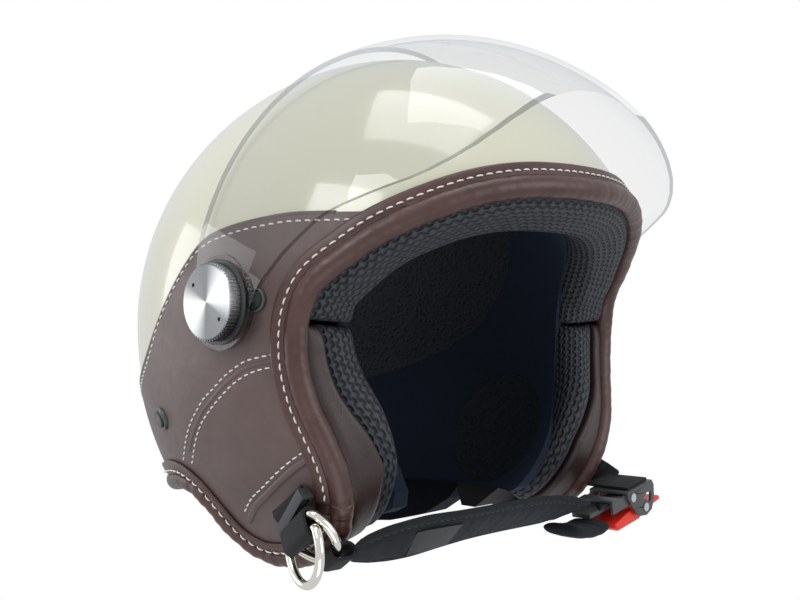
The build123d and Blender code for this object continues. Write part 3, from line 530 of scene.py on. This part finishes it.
for n, o in nodes.items():
    o.data.materials.clear()
    o.data.materials.append(cad_mats.get(n, DARK))
    o.data.polygons.foreach_set("use_smooth", [True] * len(o.data.polygons))
    soft = {"buckle_frame": 0.5, "buckle_links": 0.4, "buckle_lever": 0.8, "strap_end_cover": 1.3, "ratchet_tongue": 0.4, "strap_keeper": 0.7,
            "anchor_strap_right": 0.35, "anchor_strap_left": 0.35, "chin_strap_core": 0.3}.get(n)
    if soft:
        wd = o.modifiers.new("weld", "WELD")
        wd.merge_threshold = 0.00002
        bv = o.modifiers.new("soft", "BEVEL")
        bv.width = soft * 0.001
        bv.segments = 3
        bv.limit_method = "ANGLE"
        bv.angle_limit = math.radians(35)
    if n != "outer_shell":
        md = o.modifiers.new("smooth", "EDGE_SPLIT")
        md.split_angle = math.radians(32)

# ---------------------------------------------------------------- edge curve
brow = [(0, 61), (-20, 60.8), (-36, 60), (-51, 57.8), (-65, 54), (-78, 48.5), (-88, 43), (-96, 37.2), (-103, 30)]
side = [(-56.6, 19), (-52.5, 11), (-50.2, 2), (-49.4, -7), (-49.3, -16), (-50.2, -25), (-52, -35), (-54.5, -44),
        (-56.3, -52), (-57.2, -60), (-56.8, -67), (-55, -75), (-51.5, -83), (-46, -91), (-38, -97.3), (-28, -101.6),
        (-17, -103.8), (-6, -103.8), (2, -101), (8.5, -96.5), (14, -89.5), (19, -82.5), (26, -76), (35, -72.8),
        (46, -72.5), (60, -74.8), (80, -78), (100, -79.5)]
nape = [(-45, -80), (-24, -80)]
half = []
for x, z in brow:
    half.append((x, -BF * math.sqrt(1 - (x / A) ** 2 - (z / CU) ** 2), z))
for y, z in side:
    half.append((-skin_x(y, z), y, z))
for x, z in nape:
    half.append((x, BR * math.sqrt(1 - (x / A) ** 2 - (z / CL) ** 2), z))
tail = (0, BR * math.sqrt(1 - (80 / CL) ** 2), -80)
loop = [np.array(p) for p in half] + [np.array(tail)] + [np.array((-p[0], p[1], p[2])) for p in half[:0:-1]]
dense = curve_dense(loop, closed=True, per=16)
dense = np.array([on_form(p) for p in dense])
EDGE_PTS = even(dense, n=900, closed=True)      # index 0 = brow centre, then down the wearer's right
EDGE_PTS = np.array([on_form(p) for p in smooth(EDGE_PTS, 6, True)])
TAN = smooth(np.roll(EDGE_PTS, -1, 0) - np.roll(EDGE_PTS, 1, 0), 3, True)
TAN = np.array([unit(t) for t in TAN])
NRM = smooth([normal(p) for p in EDGE_PTS], 6, True)
NRM = np.array([unit(n) for n in NRM])
BIN = np.array([unit(np.cross(TAN[i], NRM[i])) for i in range(900)])
if BIN[0][2] > 0:
    BIN = -BIN                                   # points out of the opening
seg = np.linalg.norm(np.roll(EDGE_PTS, -1, 0) - EDGE_PTS, axis=1)
corner = int(np.argmin([np.linalg.norm(p - np.array([-88.5, -49, -86])) for p in EDGE_PTS]))


def eb(i, b, n):
    i = i % 900
    return EDGE_PTS[i] + BIN[i] * b + NRM[i] * n


def clamp_wrap(lo, hi):
    return list(range(lo, hi + 1))


# ---------------------------------------------------------------- edge rolls
def roll_section():
    pts = [(-9.2, 1.5), (-9.5, 2.0), (-9.2, 2.6), (-8.4, 2.85), (-6.5, 2.95), (-4.4, 2.85), (-3.2, 2.5), (-2.5, 2.35)]
    c, r = (1.3, -0.5), 5.1
    for k in range(17):
        a = math.radians(142 - 15.5 * k)
        pts.append((c[0] + r * math.cos(a), c[1] + r * math.sin(a)))
    pts += [(-1.5, -4.2), (-2.0, -1.0), (-4.0, 1.3)]
    return pts


SEC = roll_section()
random.seed(4)


def roll_piece(name, idx, crease=0.0):
    G = np.zeros((len(idx), len(SEC), 3))
    for a, i in enumerate(idx):
        for k, (b, n) in enumerate(SEC):
            w = 0.0
            if 8 <= k < 25:
                s = a * 0.55
                w = crease * (0.20 * math.sin(s * 0.9 + 1.3 * math.sin(s * 0.21)) + 0.13 * math.sin(s * 2.3 + k * 0.3))
                dirv = (b - 1.3, n + 0.5)
                ll = math.hypot(*dirv)
                b2, n2 = b + dirv[0] / ll * w, n + dirv[1] / ll * w
            else:
                b2, n2 = b, n + w
            G[a, k] = eb(i, b2, n2)
    return grid(name, G, ROLL, closed_v=True, caps=True, uv=uv_grid(G))


face_idx = clamp_wrap(-(corner - 6), corner - 6)
low_idx = clamp_wrap(corner - 12, 900 - corner + 12)
face_roll = roll_piece("face_roll", face_idx, 0.5)
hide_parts("face_edge_roll")
low_roll = roll_piece("low_roll", low_idx, 1.0)
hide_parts("lower_edge_roll")
for o in (face_roll, low_roll):
    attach(o, "helmet")


# ---------------------------------------------------------------- stitching
def stitches(name, path, norms, pitch=4.6, length=3.1, r=0.42, sink=0.05):
    """Rows of thread, each a short rounded bar that dips into the leather at its ends."""
    P = even(np.hstack([path, norms]), step=pitch)
    V, Fc = [], []
    m = 8
    for a in range(len(P) - 1):
        p, n = P[a, :3], unit(P[a, 3:])
        t = unit(P[a + 1, :3] - p)
        s = unit(np.cross(t, n))
        t = unit(t + s * 0.10)
        s = unit(np.cross(t, n))
        base = len(V)
        rows = 7
        for k in range(rows):
            u = k / (rows - 1)
            x = (u - 0.5) * length
            h = math.sin(math.pi * u) ** 0.5
            cz = -0.35 + 0.5 * h
            rr = r * (0.55 + 0.45 * h)
            for j in range(m):
                an = 2 * math.pi * j / m
                V.append(p + t * x + s * math.cos(an) * rr + n * (cz + math.sin(an) * rr * 0.8 + sink))
        for k in range(rows - 1):
            for j in range(m):
                j2 = (j + 1) % m
                Fc.append((base + k * m + j, base + k * m + j2, base + (k + 1) * m + j2, base + (k + 1) * m + j))
        Fc.append(tuple(base + j for j in range(m))[::-1])
        Fc.append(tuple(base + (rows - 1) * m + j for j in range(m)))
    o = fix_normals(make(name, V, Fc, mats=[STITCH]))
    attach(o, "helmet")
    return o


def edge_path(idx, b, n):
    return np.array([eb(i, b, n) for i in idx]), np.array([NRM[i % 900] for i in idx])


p_, n_ = edge_path(clamp_wrap(-(corner - 10), corner - 10), -4.9, 3.05)
stitches("stitch_face", p_, n_)
p_, n_ = edge_path(clamp_wrap(corner + 4, 900 - corner - 4), -4.9, 3.4)
stitches("stitch_low", p_, n_, pitch=4.9, length=3.4)


def surf_line(pts, t, s, closed=False):
    """Side-profile points on the form at depth t, on side s."""
    q = curve_dense([(0.0, y, z) for y, z in pts], per=14)
    P = np.array([(s * skin_x(p[1], p[2], t), p[1], p[2]) for p in q])
    N = np.array([normal(p) for p in P])
    return P, N


LEATHER_TOP = [(-75, 46), (-62, 46), (-43, 46), (-29, 44.5), (-19, 43), (-9, 41), (1, 38), (7, 34), (14, 27),
               (22, 18), (29, 10), (37, 1), (47, -9), (57, -17), (71, -25), (90, -33), (115, -40)]
SEAM_O = [(-41, -13), (-35, -14), (-27, -16), (-21, -19), (-14, -23), (-7, -28), (1, -33), (7, -38), (14, -44),
          (19, -49), (26, -57), (33, -65)]
SEAM_I = [(-42, -18), (-35, -19.2), (-27, -21.8), (-19, -26), (-11, -31.5), (-2, -38), (5, -43.5), (11.5, -50), (17, -56.5), (25, -66)]
SLOT = [(-49, -57), (-44, -60), (-35, -66), (-25, -73), (-15, -79.5), (-5, -88)]
for s, tag in ((-1, "r"), (1, "l")):
    top = [(y - 0.0, z - 3.0) if y < 4 else (y + 1.2, z - 3.2) if y < 40 else (y, z - 3.6) for y, z in LEATHER_TOP]
    stitches("stitch_top_" + tag, *surf_line(top, -1.45, s), pitch=4.4, length=2.9)
    stitches("stitch_seam_a_" + tag, *surf_line(SEAM_O, -1.45, s), pitch=4.0, length=2.6, r=0.36)
    stitches("stitch_seam_b_" + tag, *surf_line(SEAM_I, -1.45, s), pitch=4.0, length=2.6, r=0.36)
    sl = [(y + 1.6, z + 2.6) for y, z in SLOT]
    stitches("stitch_slot_" + tag, *surf_line(sl, -1.6, s), pitch=4.2, length=2.8, r=0.38)


# folded leather edges along the panel's top, the seam and the slot
def bead(name, pts, t, s, r, mat, lift=0.0):
    P, N = surf_line(pts, t, s)
    R = even(np.hstack([P, N]), step=1.6)
    G = np.zeros((len(R), 10, 3))
    for a in range(len(R)):
        T = unit(R[min(a + 1, len(R) - 1), :3] - R[max(a - 1, 0), :3])
        n = unit(R[a, 3:])
        b = unit(np.cross(T, n))
        for k in range(10):
            an = 2 * math.pi * k / 10
            G[a, k] = R[a, :3] + b * math.cos(an) * r * 1.5 + n * (math.sin(an) * r + lift)
    o = grid(name, G, mat, closed_v=True, caps=True)
    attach(o, "helmet")
    return o


for s, tag in ((-1, "r"), (1, "l")):
    bead("fold_top_" + tag, LEATHER_TOP[1:], -0.75, s, 0.85, LEATHER)
    mid = [((a[0] + b[0]) / 2, (a[1] + b[1]) / 2) for a, b in zip(SEAM_O[:10], SEAM_I)]
    bead("fold_seam_" + tag, mid, -1.15, s, 0.7, LEATHER)
    bead("fold_slot_" + tag, SLOT, -1.35, s, 1.15, LEATHER)

# ---------------------------------------------------------------- shell and side panels
def to_sphere(p):
    a, b, c = semi(p[1], p[2])
    return unit(np.array([p[0] / a, p[1] / b, p[2] / c]))


def from_sphere(q, t=0.0):
    a, b, c = semi(q[1], q[2], t)
    return np.array([q[0] * a, q[1] * b, q[2] * c])


pole = unit(np.array([0, 0.62, 0.78]))
cols, depth = 300, 110
V, Fc = [from_sphere(pole)], []
for k in range(1, depth + 1):
    f = k / depth
    for j in range(cols):
        i = j * 3
        e = to_sphere(EDGE_PTS[i] - BIN[i] * 2.0)
        om = math.acos(max(-1, min(1, pole.dot(e))))
        V.append(from_sphere((math.sin((1 - f) * om) * pole + math.sin(f * om) * e) / math.sin(om)))
for j in range(cols):
    Fc.append((0, 1 + j, 1 + (j + 1) % cols))
for k in range(depth - 1):
    for j in range(cols):
        j2 = (j + 1) % cols
        Fc.append((1 + k * cols + j, 1 + (k + 1) * cols + j, 1 + (k + 1) * cols + j2, 1 + k * cols + j2))
shell = outward(fix_normals(make("shell", V, Fc, mats=[SHELL])))
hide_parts("outer_shell")
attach(shell, "helmet")

TOP3 = [(-90, 48), (-75, 46), (-62, 46), (-43, 46), (-29, 44.5), (-19, 43), (-9, 41), (1, 38), (7, 34), (14, 27),
        (22, 18), (29, 10), (37, 1), (47, -9), (57, -17), (71, -25), (90, -33), (108, -38.5)]
for s, tag in ((-1, "right"), (1, "left")):
    tp = [(s * skin_x(y, z), y, z) for y, z in TOP3]
    for x, z in ((55, -41), (30, -43), (0, -43.6)):
        tp.append((s * x, BR * math.sqrt(1 - (x / A) ** 2 - (z / CL) ** 2), z))
    top3 = even(curve_dense(tp, per=14), n=220)
    i0 = int(np.argmin([np.linalg.norm(EDGE_PTS[i if s < 0 else (900 - i) % 900] - top3[0]) for i in range(451)]))
    low = even(np.array([EDGE_PTS[i if s < 0 else (900 - i) % 900] - BIN[i if s < 0 else (900 - i) % 900] * 3.0 for i in range(i0, 451)]), n=220)
    G = np.zeros((220, 40, 3))
    for a in range(220):
        for k in range(40):
            G[a, k] = on_form(top3[a] * (1 - k / 39) + low[a] * (k / 39), -1.4)
    o = outward(grid("panel_" + tag, G, LEATHER))
    md = o.modifiers.new("wall", "SOLIDIFY")
    md.thickness = 0.0013
    md.offset = -1
    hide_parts("leather_upper_" + tag, "leather_lower_" + tag, "leather_corner_" + tag)
    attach(o, "helmet")

# ---------------------------------------------------------------- rim pads
s_len = np.concatenate([[0], np.cumsum(seg)])
total = s_len[-1]


def zof(i):
    return EDGE_PTS[i % 900][2]


def kof(i):
    """How far the rim's face leans out of the opening per millimetre inward."""
    z = zof(i)
    y = EDGE_PTS[i % 900][1]
    if y > -40:
        return 0.30
    return float(np.interp(-z, [-62, -45, -25, 0, 25, 50, 70, 88, 100], [0.0, 0.04, 0.18, 0.30, 0.38, 0.46, 0.46, 0.36, 0.30]))


def d0of(i):
    return float(np.interp(-zof(i), [-60, -30, 0, 60, 100], [6.3, 5.2, 4.6, 5.0, 5.0]))


def rim(i, t, d):
    i = i % 900
    return EDGE_PTS[i] - NRM[i] * t + BIN[i] * d


def pad_piece(name, idx, t0f, t1, mat, back=-24.0, puff=1.4, taper=7, ends=(True, True)):
    n = len(idx)
    rows = []
    for a, i in enumerate(idx):
        e = 1.0
        if ends[0]:
            e = min(e, math.sqrt(max(0.0, 1 - (1 - min(a / taper, 1.0)) ** 2)))
        if ends[1]:
            e = min(e, math.sqrt(max(0.0, 1 - (1 - min((n - 1 - a) / taper, 1.0)) ** 2)))
        k, d0 = kof(i), d0of(i)
        t0 = t0f(i)

        def df(t):
            return d0 + k * t
        sh = (1 - e) * 2.6
        C = [(t0 + 0.3, df(t0) - 9 - sh), (t0, df(t0) - 4.0 - sh), (t0 + 1.6, df(t0) - 0.6 - sh),
             (t0 + 5.5, df(t0 + 5.5) + puff * e - sh), ((t0 + t1) / 2, df((t0 + t1) / 2) + (puff + 0.5) * e - sh),
             (t1 - 6, df(t1 - 6) + puff * e - sh), (t1 - 1.6, df(t1 - 2) - 1.2 - sh), (t1 + 1.2 - sh * 0.3, df(t1) - 5.0 - sh),
             (t1 + 2.6 - sh * 0.3, df(t1) - 11), (t1 + 2.8 - sh * 0.3, (df(t1) + back) / 2), (t1 + 1.0, back)]
        q = curve_dense([(x, y, 0) for x, y in C], per=6)
        q = even(q, n=44)
        rows.append([rim(i, p[0], p[1]) for p in q])
    G = np.array(rows)
    o = grid(name, G, mat, uv=uv_grid(G))
    m = o.modifiers.new("thick", "SOLIDIFY")
    m.thickness = 0.0015
    m.offset = -1
    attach(o, "helmet")
    return o


junc = next(i for i in range(900) if zof(i) < 2.5)
bot = int(np.argmin([np.linalg.norm(p - np.array([-82, -33, -99.5])) for p in EDGE_PTS]))


def t_flap(i):
    z = zof(i)
    y = EDGE_PTS[i % 900][1]
    return float(np.interp(-z, [-8, 4, 22, 36, 46, 55, 69, 78, 90, 100], [10.5, 11.5, 12.0, 12.6, 14, 16.5, 20, 19, 18, 17]))


brow_piece = pad_piece("brow_mesh", clamp_wrap(-(junc - 1), junc - 1), lambda i: 3.6, 32.0, MESH, puff=2.0)
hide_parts("brow_pad")
for tag, lo, hi in (("right", junc + 1, bot), ("left", 900 - bot, 900 - junc - 1)):
    idx = clamp_wrap(lo, hi)
    o = pad_piece("cheek_mesh_" + tag, idx, lambda i: t_flap(i) + 0.2, 32.0, MESH, puff=2.2)
    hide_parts("cheek_pad_" + tag)
    # leather flap between the roll and the mesh, in a darkened copy of the roll leather that paints the shade the flap
    # sits in
    rows = []
    n = len(idx)
    for a, i in enumerate(idx):
        k, d0 = kof(i), d0of(i)
        t1 = t_flap(i)
        e = math.sqrt(max(0.0, 1 - (1 - min(min(a, n - 1 - a) / 10.0, 1.0)) ** 2))
        sh = (1 - e) * 4
        C = [(3.2, -2 - sh), (3.6, d0 + k * 3.6 - 3 - sh), (5.0, d0 + k * 5 - 0.6 - sh), ((4 + t1) / 2, d0 + k * (4 + t1) / 2 + 1.0 * e - sh),
             (t1 - 1.5, d0 + k * t1 + 1.2 * e - sh), (t1 + 0.2, d0 + k * t1 + 0.2 - sh), (t1 + 0.9, d0 + k * t1 - 1.6 - sh), (t1 + 0.6, d0 + k * t1 - 6 - sh)]
        q = even(curve_dense([(x, y, 0) for x, y in C], per=6), n=26)
        rows.append([rim(i, p[0], p[1]) for p in q])
    G = np.array(rows)
    f = grid("flap_" + tag, G, FLAP_PAINTED_SHADE, uv=uv_grid(G))
    m = f.modifiers.new("thick", "SOLIDIFY")
    m.thickness = 0.0012
    m.offset = -1
    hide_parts("cheek_flap_" + tag)
    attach(f, "helmet")


# ---------------------------------------------------------------- chin strap
UR = unit(np.array([-0.24, -0.83, 0.5]))
HANG = np.array([-0.139, -0.479, -0.866])
HANG = unit(HANG - UR * HANG.dot(UR))
NR = np.cross(UR, HANG)
R2 = unit(HANG * math.cos(math.radians(40)) + NR * math.sin(math.radians(40)))
TIP = np.array([-105, -43, -88.0]) - HANG * 3 + R2 * 20


def bk(a, b, c):
    return np.array([97, -72, -95.0]) + np.array([0.98, 0, 0.199]) * a + np.array([0, 1.0, 0]) * b + np.array([-0.199, 0, 0.98]) * c


LEAD = unit(np.array([-62, -66, -94.0]) - TIP)
LEAD = unit(LEAD - UR * LEAD.dot(UR))
SP = [TIP + LEAD * 9.5] + [np.array(p, float) for p in [(-70, -64.5, -94.3), (-58, -67, -93.2), (-38, -69.3, -92.2), (-16, -70, -91.5), (4, -70.3, -91.3),
                                   (24, -70.8, -91.6), (40, -71.5, -92.6), (52, -72, -94.2)]]
SA = [UR] + [np.array(p, float) for p in [(-0.1, -0.7, 0.72), (0, -0.66, 0.75), (0, -0.72, 0.69), (0, -0.76, 0.65), (0, -0.77, 0.64),
                                   (0, -0.79, 0.61), (0, -0.85, 0.53), (0, -0.93, 0.36)]]


def band_frames(pts, across, step):
    D = curve_dense([np.concatenate([p, a * 20]) for p, a in zip(pts, across)], per=12)
    d = np.concatenate([[0], np.cumsum(np.linalg.norm(np.diff(D[:, :3], axis=0), axis=1))])
    n = int(d[-1] / step) + 1
    s = np.linspace(0, d[-1], n)
    R = np.stack([np.interp(s, d, D[:, k]) for k in range(6)], axis=1)
    T = np.gradient(R[:, :3], axis=0)
    out_ = []
    for a in range(n):
        t_ = unit(T[a])
        u_ = R[a, 3:] - t_ * t_.dot(R[a, 3:])
        u_ = unit(u_)
        out_.append((R[a, :3], t_, u_, np.cross(t_, u_)))
    return out_


FR = band_frames(SP, SA, 1.3)
nF = len(FR)
rows = []
W2, H2 = 13.0, 2.75
for a, (p, t_, u_, n_) in enumerate(FR):
    e = min(1.0, math.sqrt(min(a, nF - 1 - a) / 5.0 + 0.05))
    sec = []
    pf = 1.0 + 0.06 * math.sin(a * 0.41) + 0.04 * math.sin(a * 1.13)
    for x, h in [(-W2, 0), (-W2 + 0.1, 0.9), (-W2 + 0.8, 1.5), (-W2 + 2.0, 1.45), (-W2 + 2.9, 1.25), (-W2 + 3.8, 1.8), (-W2 + 6, 2.55), (-6, 2.8), (0, 2.95),
                 (6, 2.8), (W2 - 6, 2.55), (W2 - 3.8, 1.8), (W2 - 2.9, 1.25), (W2 - 2.0, 1.45), (W2 - 0.8, 1.5), (W2 - 0.1, 0.9), (W2, 0)]:
        sec.append((x, h * e * (pf if abs(x) < 10 else 1)))
    top_ = [p + u_ * x + n_ * h for x, h in sec]
    bot_ = [p + u_ * x - n_ * h for x, h in sec[-2:0:-1]]
    rows.append(top_ + bot_)
G = np.array(rows)
sp = grid("strap_pad", G, STRAP, closed_v=True, caps=True, uv=uv_grid(G))
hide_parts("chin_strap_pad")
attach(sp, "helmet")
for x, nm in ((-W2 + 2.6, "a"), (W2 - 2.6, "b")):
    for sg, nm2 in ((1, "o"), (-1, "i")):
        P_ = np.array([p + u_ * x + n_ * sg * 1.35 for p, t_, u_, n_ in FR[3:-3]])
        N_ = np.array([n_ * sg for p, t_, u_, n_ in FR[3:-3]])
        st = stitches("strap_thread_%s%s" % (nm, nm2), P_, N_, pitch=3.6, length=2.6, r=0.24, sink=0.15)
        st.data.materials[0] = THREAD

# ---------------------------------------------------------------- padded tab under the buckle
CP = curve_dense([(41, -73, -102.0), (50, -73.5, -104.0), (60, -73.5, -104.4), (70, -73, -102.6)], per=14)
CP = even(CP, n=40)
rows = []
for a in range(40):
    t_ = unit(CP[min(a + 1, 39)] - CP[max(a - 1, 0)])
    u_ = np.array([0, 1.0, 0])
    n_ = np.cross(t_, u_)
    f = a / 39
    e = max(0.05, min(1.0, math.sqrt(max(0.0, 1 - (1 - min(f, 1 - f) / 0.16) ** 2)) if min(f, 1 - f) < 0.16 else 1.0))
    ring = []
    for k in range(28):
        an = 2 * math.pi * k / 28
        cx, sy = math.cos(an), math.sin(an)
        w_ = 11.4 * (0.86 + 0.14 * e) * math.copysign(abs(cx) ** 0.6, cx)
        h_ = 3.2 * e * math.copysign(abs(sy) ** 0.8, sy) * (1 + 0.06 * math.sin(a * 0.7))
        ring.append(CP[a] + u_ * w_ + n_ * h_)
    rows.append(ring)
G = np.array(rows)
cv = grid("cover_tab", G, STRAP, closed_v=True, caps=True, uv=uv_grid(G))
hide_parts("strap_end_cover")
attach(cv, "helmet")

# ---------------------------------------------------------------- snaps
def dome(name, y, z, s, r, mat):
    p = np.array([s * skin_x(y, z, -1.4), y, z])
    n = normal(p)
    ref = np.array([0, 0, 1.0])
    u = unit(np.cross(ref, n))
    v = np.cross(n, u)
    prof = [(r, 0.0), (r, 0.7), (r - 0.15, 1.1), (r - 0.6, 1.35), (r - 1.1, 1.2), (r - 1.35, 0.9), (r - 1.7, 1.05),
            (r * 0.60, 1.9), (r * 0.45, 2.25), (r * 0.25, 2.5), (0.02, 2.6)]
    m = 48
    G = np.zeros((len(prof), m, 3))
    for a, (rr, h) in enumerate(prof):
        for k in range(m):
            an = 2 * math.pi * k / m
            G[a, k] = p + u * rr * math.cos(an) + v * rr * math.sin(an) + n * h
    o = grid(name, G, mat, closed_v=True)
    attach(o, "helmet")
    return o


SNAP = m_plastic("snap_enamel", (0.070, 0.080, 0.085), 0.30, 0.05)
snap_objs = []
for s, tag in ((-1, "r"), (1, "l")):
    snap_objs.append(dome("snap_front_" + tag, -33, 10, s, 5.3, SNAP))
    snap_objs.append(dome("snap_rear_" + tag, 43, -44, s, 5.3, SNAP))

# ---------------------------------------------------------------- visor edge
VIS_AX, VIS_R, VIS_Y, VIS_Z = 131.6, 150.0, -26.5, -8.55
VIS_LOW = [(-22, -11), (-28, -8), (-32, -5), (-34, 0), (-36, 4), (-39, 8), (-42, 14), (-46, 19), (-50, 24), (-54, 29),
           (-59, 34), (-63, 38), (-67, 42), (-71, 45), (-77, 48), (-86, 52), (-93, 55), (-99, 57.5), (-105, 61),
           (-111, 66), (-116, 72), (-119.5, 79), (-122, 87), (-123.5, 97), (-124, 107)]
vo = nodes["visor"]
vo.data.materials.append(EDGE)
mi = []
for f in vo.data.polygons:
    c = f.center * 1000
    g = Vector((c.x / VIS_AX ** 2, (c.y - Y0 - VIS_Y) / VIS_R ** 2, (c.z - Z0 - VIS_Z) / VIS_R ** 2)).normalized()
    mi.append(1 if abs(f.normal.dot(g)) < 0.6 else 0)
vo.data.polygons.foreach_set("material_index", mi)

# ---------------------------------------------------------------- camera, light, world
def cam_axes():
    az, el, ro = math.radians(-46.9), math.radians(-1.3), math.radians(-0.1)
    back = np.array([math.sin(az) * math.cos(el), -math.cos(az) * math.cos(el), math.sin(el)])
    right = np.array([math.cos(az), math.sin(az), 0.0])
    up = np.cross(back, right)
    r2 = right * math.cos(ro) + up * math.sin(ro)
    u2 = -right * math.sin(ro) + up * math.cos(ro)
    C = back * 595.0 + r2 * 2.0 + u2 * 12.4
    return r2, u2, back, C


r2, u2, back, C = cam_axes()
cd = bpy.data.cameras.new("camera")
cd.lens = 51.85
cd.sensor_width = 36
cd.clip_start = 0.01
cam = bpy.data.objects.new("camera", cd)
bpy.context.scene.collection.objects.link(cam)
P = (C + OFF) * 0.001
cam.matrix_world = Matrix(((r2[0], u2[0], back[0], P[0]), (r2[1], u2[1], back[1], P[1]), (r2[2], u2[2], back[2], P[2]), (0, 0, 0, 1)))
bpy.context.scene.camera = cam

w = bpy.data.worlds.new("studio")
bpy.context.scene.world = w
w.use_nodes = True
t = w.node_tree
t.nodes.clear()
out = t.nodes.new("ShaderNodeOutputWorld")
bgc = t.nodes.new("ShaderNodeBackground")
bgc.inputs["Color"].default_value = (1, 1, 1, 1)
bgc.inputs["Strength"].default_value = 1.0
bgl = t.nodes.new("ShaderNodeBackground")
bgl.inputs["Color"].default_value = (0.93, 0.96, 1.0, 1)
bgl.inputs["Strength"].default_value = 0.42
lp = t.nodes.new("ShaderNodeLightPath")
mx = t.nodes.new("ShaderNodeMixShader")
t.links.new(lp.outputs["Is Camera Ray"], mx.inputs[0])
gs = t.nodes.new("ShaderNodeMapRange")
gs.inputs["To Min"].default_value = 0.50
gs.inputs["To Max"].default_value = 0.78
t.links.new(lp.outputs["Is Glossy Ray"], gs.inputs["Value"])
t.links.new(gs.outputs["Result"], bgl.inputs["Strength"])
t.links.new(bgl.outputs[0], mx.inputs[1])
t.links.new(bgc.outputs[0], mx.inputs[2])
t.links.new(mx.outputs[0], out.inputs[0])
sc = bpy.context.scene
sc.view_settings.view_transform = "Standard"
sc.view_settings.look = "None"


def area(name, pos, target, size, power, color=(1, 1, 1), sy=None):
    l = bpy.data.lights.new(name, "AREA")
    l.energy = power
    l.color = color
    l.shape = "RECTANGLE"
    l.size = size
    l.size_y = sy or size
    o = bpy.data.objects.new(name, l)
    sc.collection.objects.link(o)
    pos = Vector(pos)
    d = (Vector(target) - pos).normalized()
    o.location = pos
    o.rotation_euler = d.to_track_quat("-Z", "Y").to_euler()
    o.visible_camera = False
    return o


def cam_pos(rx, uy, bz):
    """A point given by camera-right, up and toward-camera distances in metres from the helmet's middle."""
    q = r2 * rx + u2 * uy + back * bz
    return (q[0], q[1] - 0.0085, q[2] + 0.111)


mid = (0, Y0 * 0.001, Z0 * 0.001)
area("key", cam_pos(-0.55, 0.75, 0.75), mid, 0.55, 5.5, (1, 1, 0.99), 0.55)
area("fill_right", cam_pos(1.1, 0.3, 0.6), mid, 0.8, 5.0)
area("low_front", cam_pos(0.0, -0.7, 0.8), mid, 0.8, 2.5)
area("top", cam_pos(0.1, 1.2, 0.0), mid, 0.7, 4.5)
area("rim_left", cam_pos(-1.1, 0.1, -0.2), mid, 0.7, 2.6)
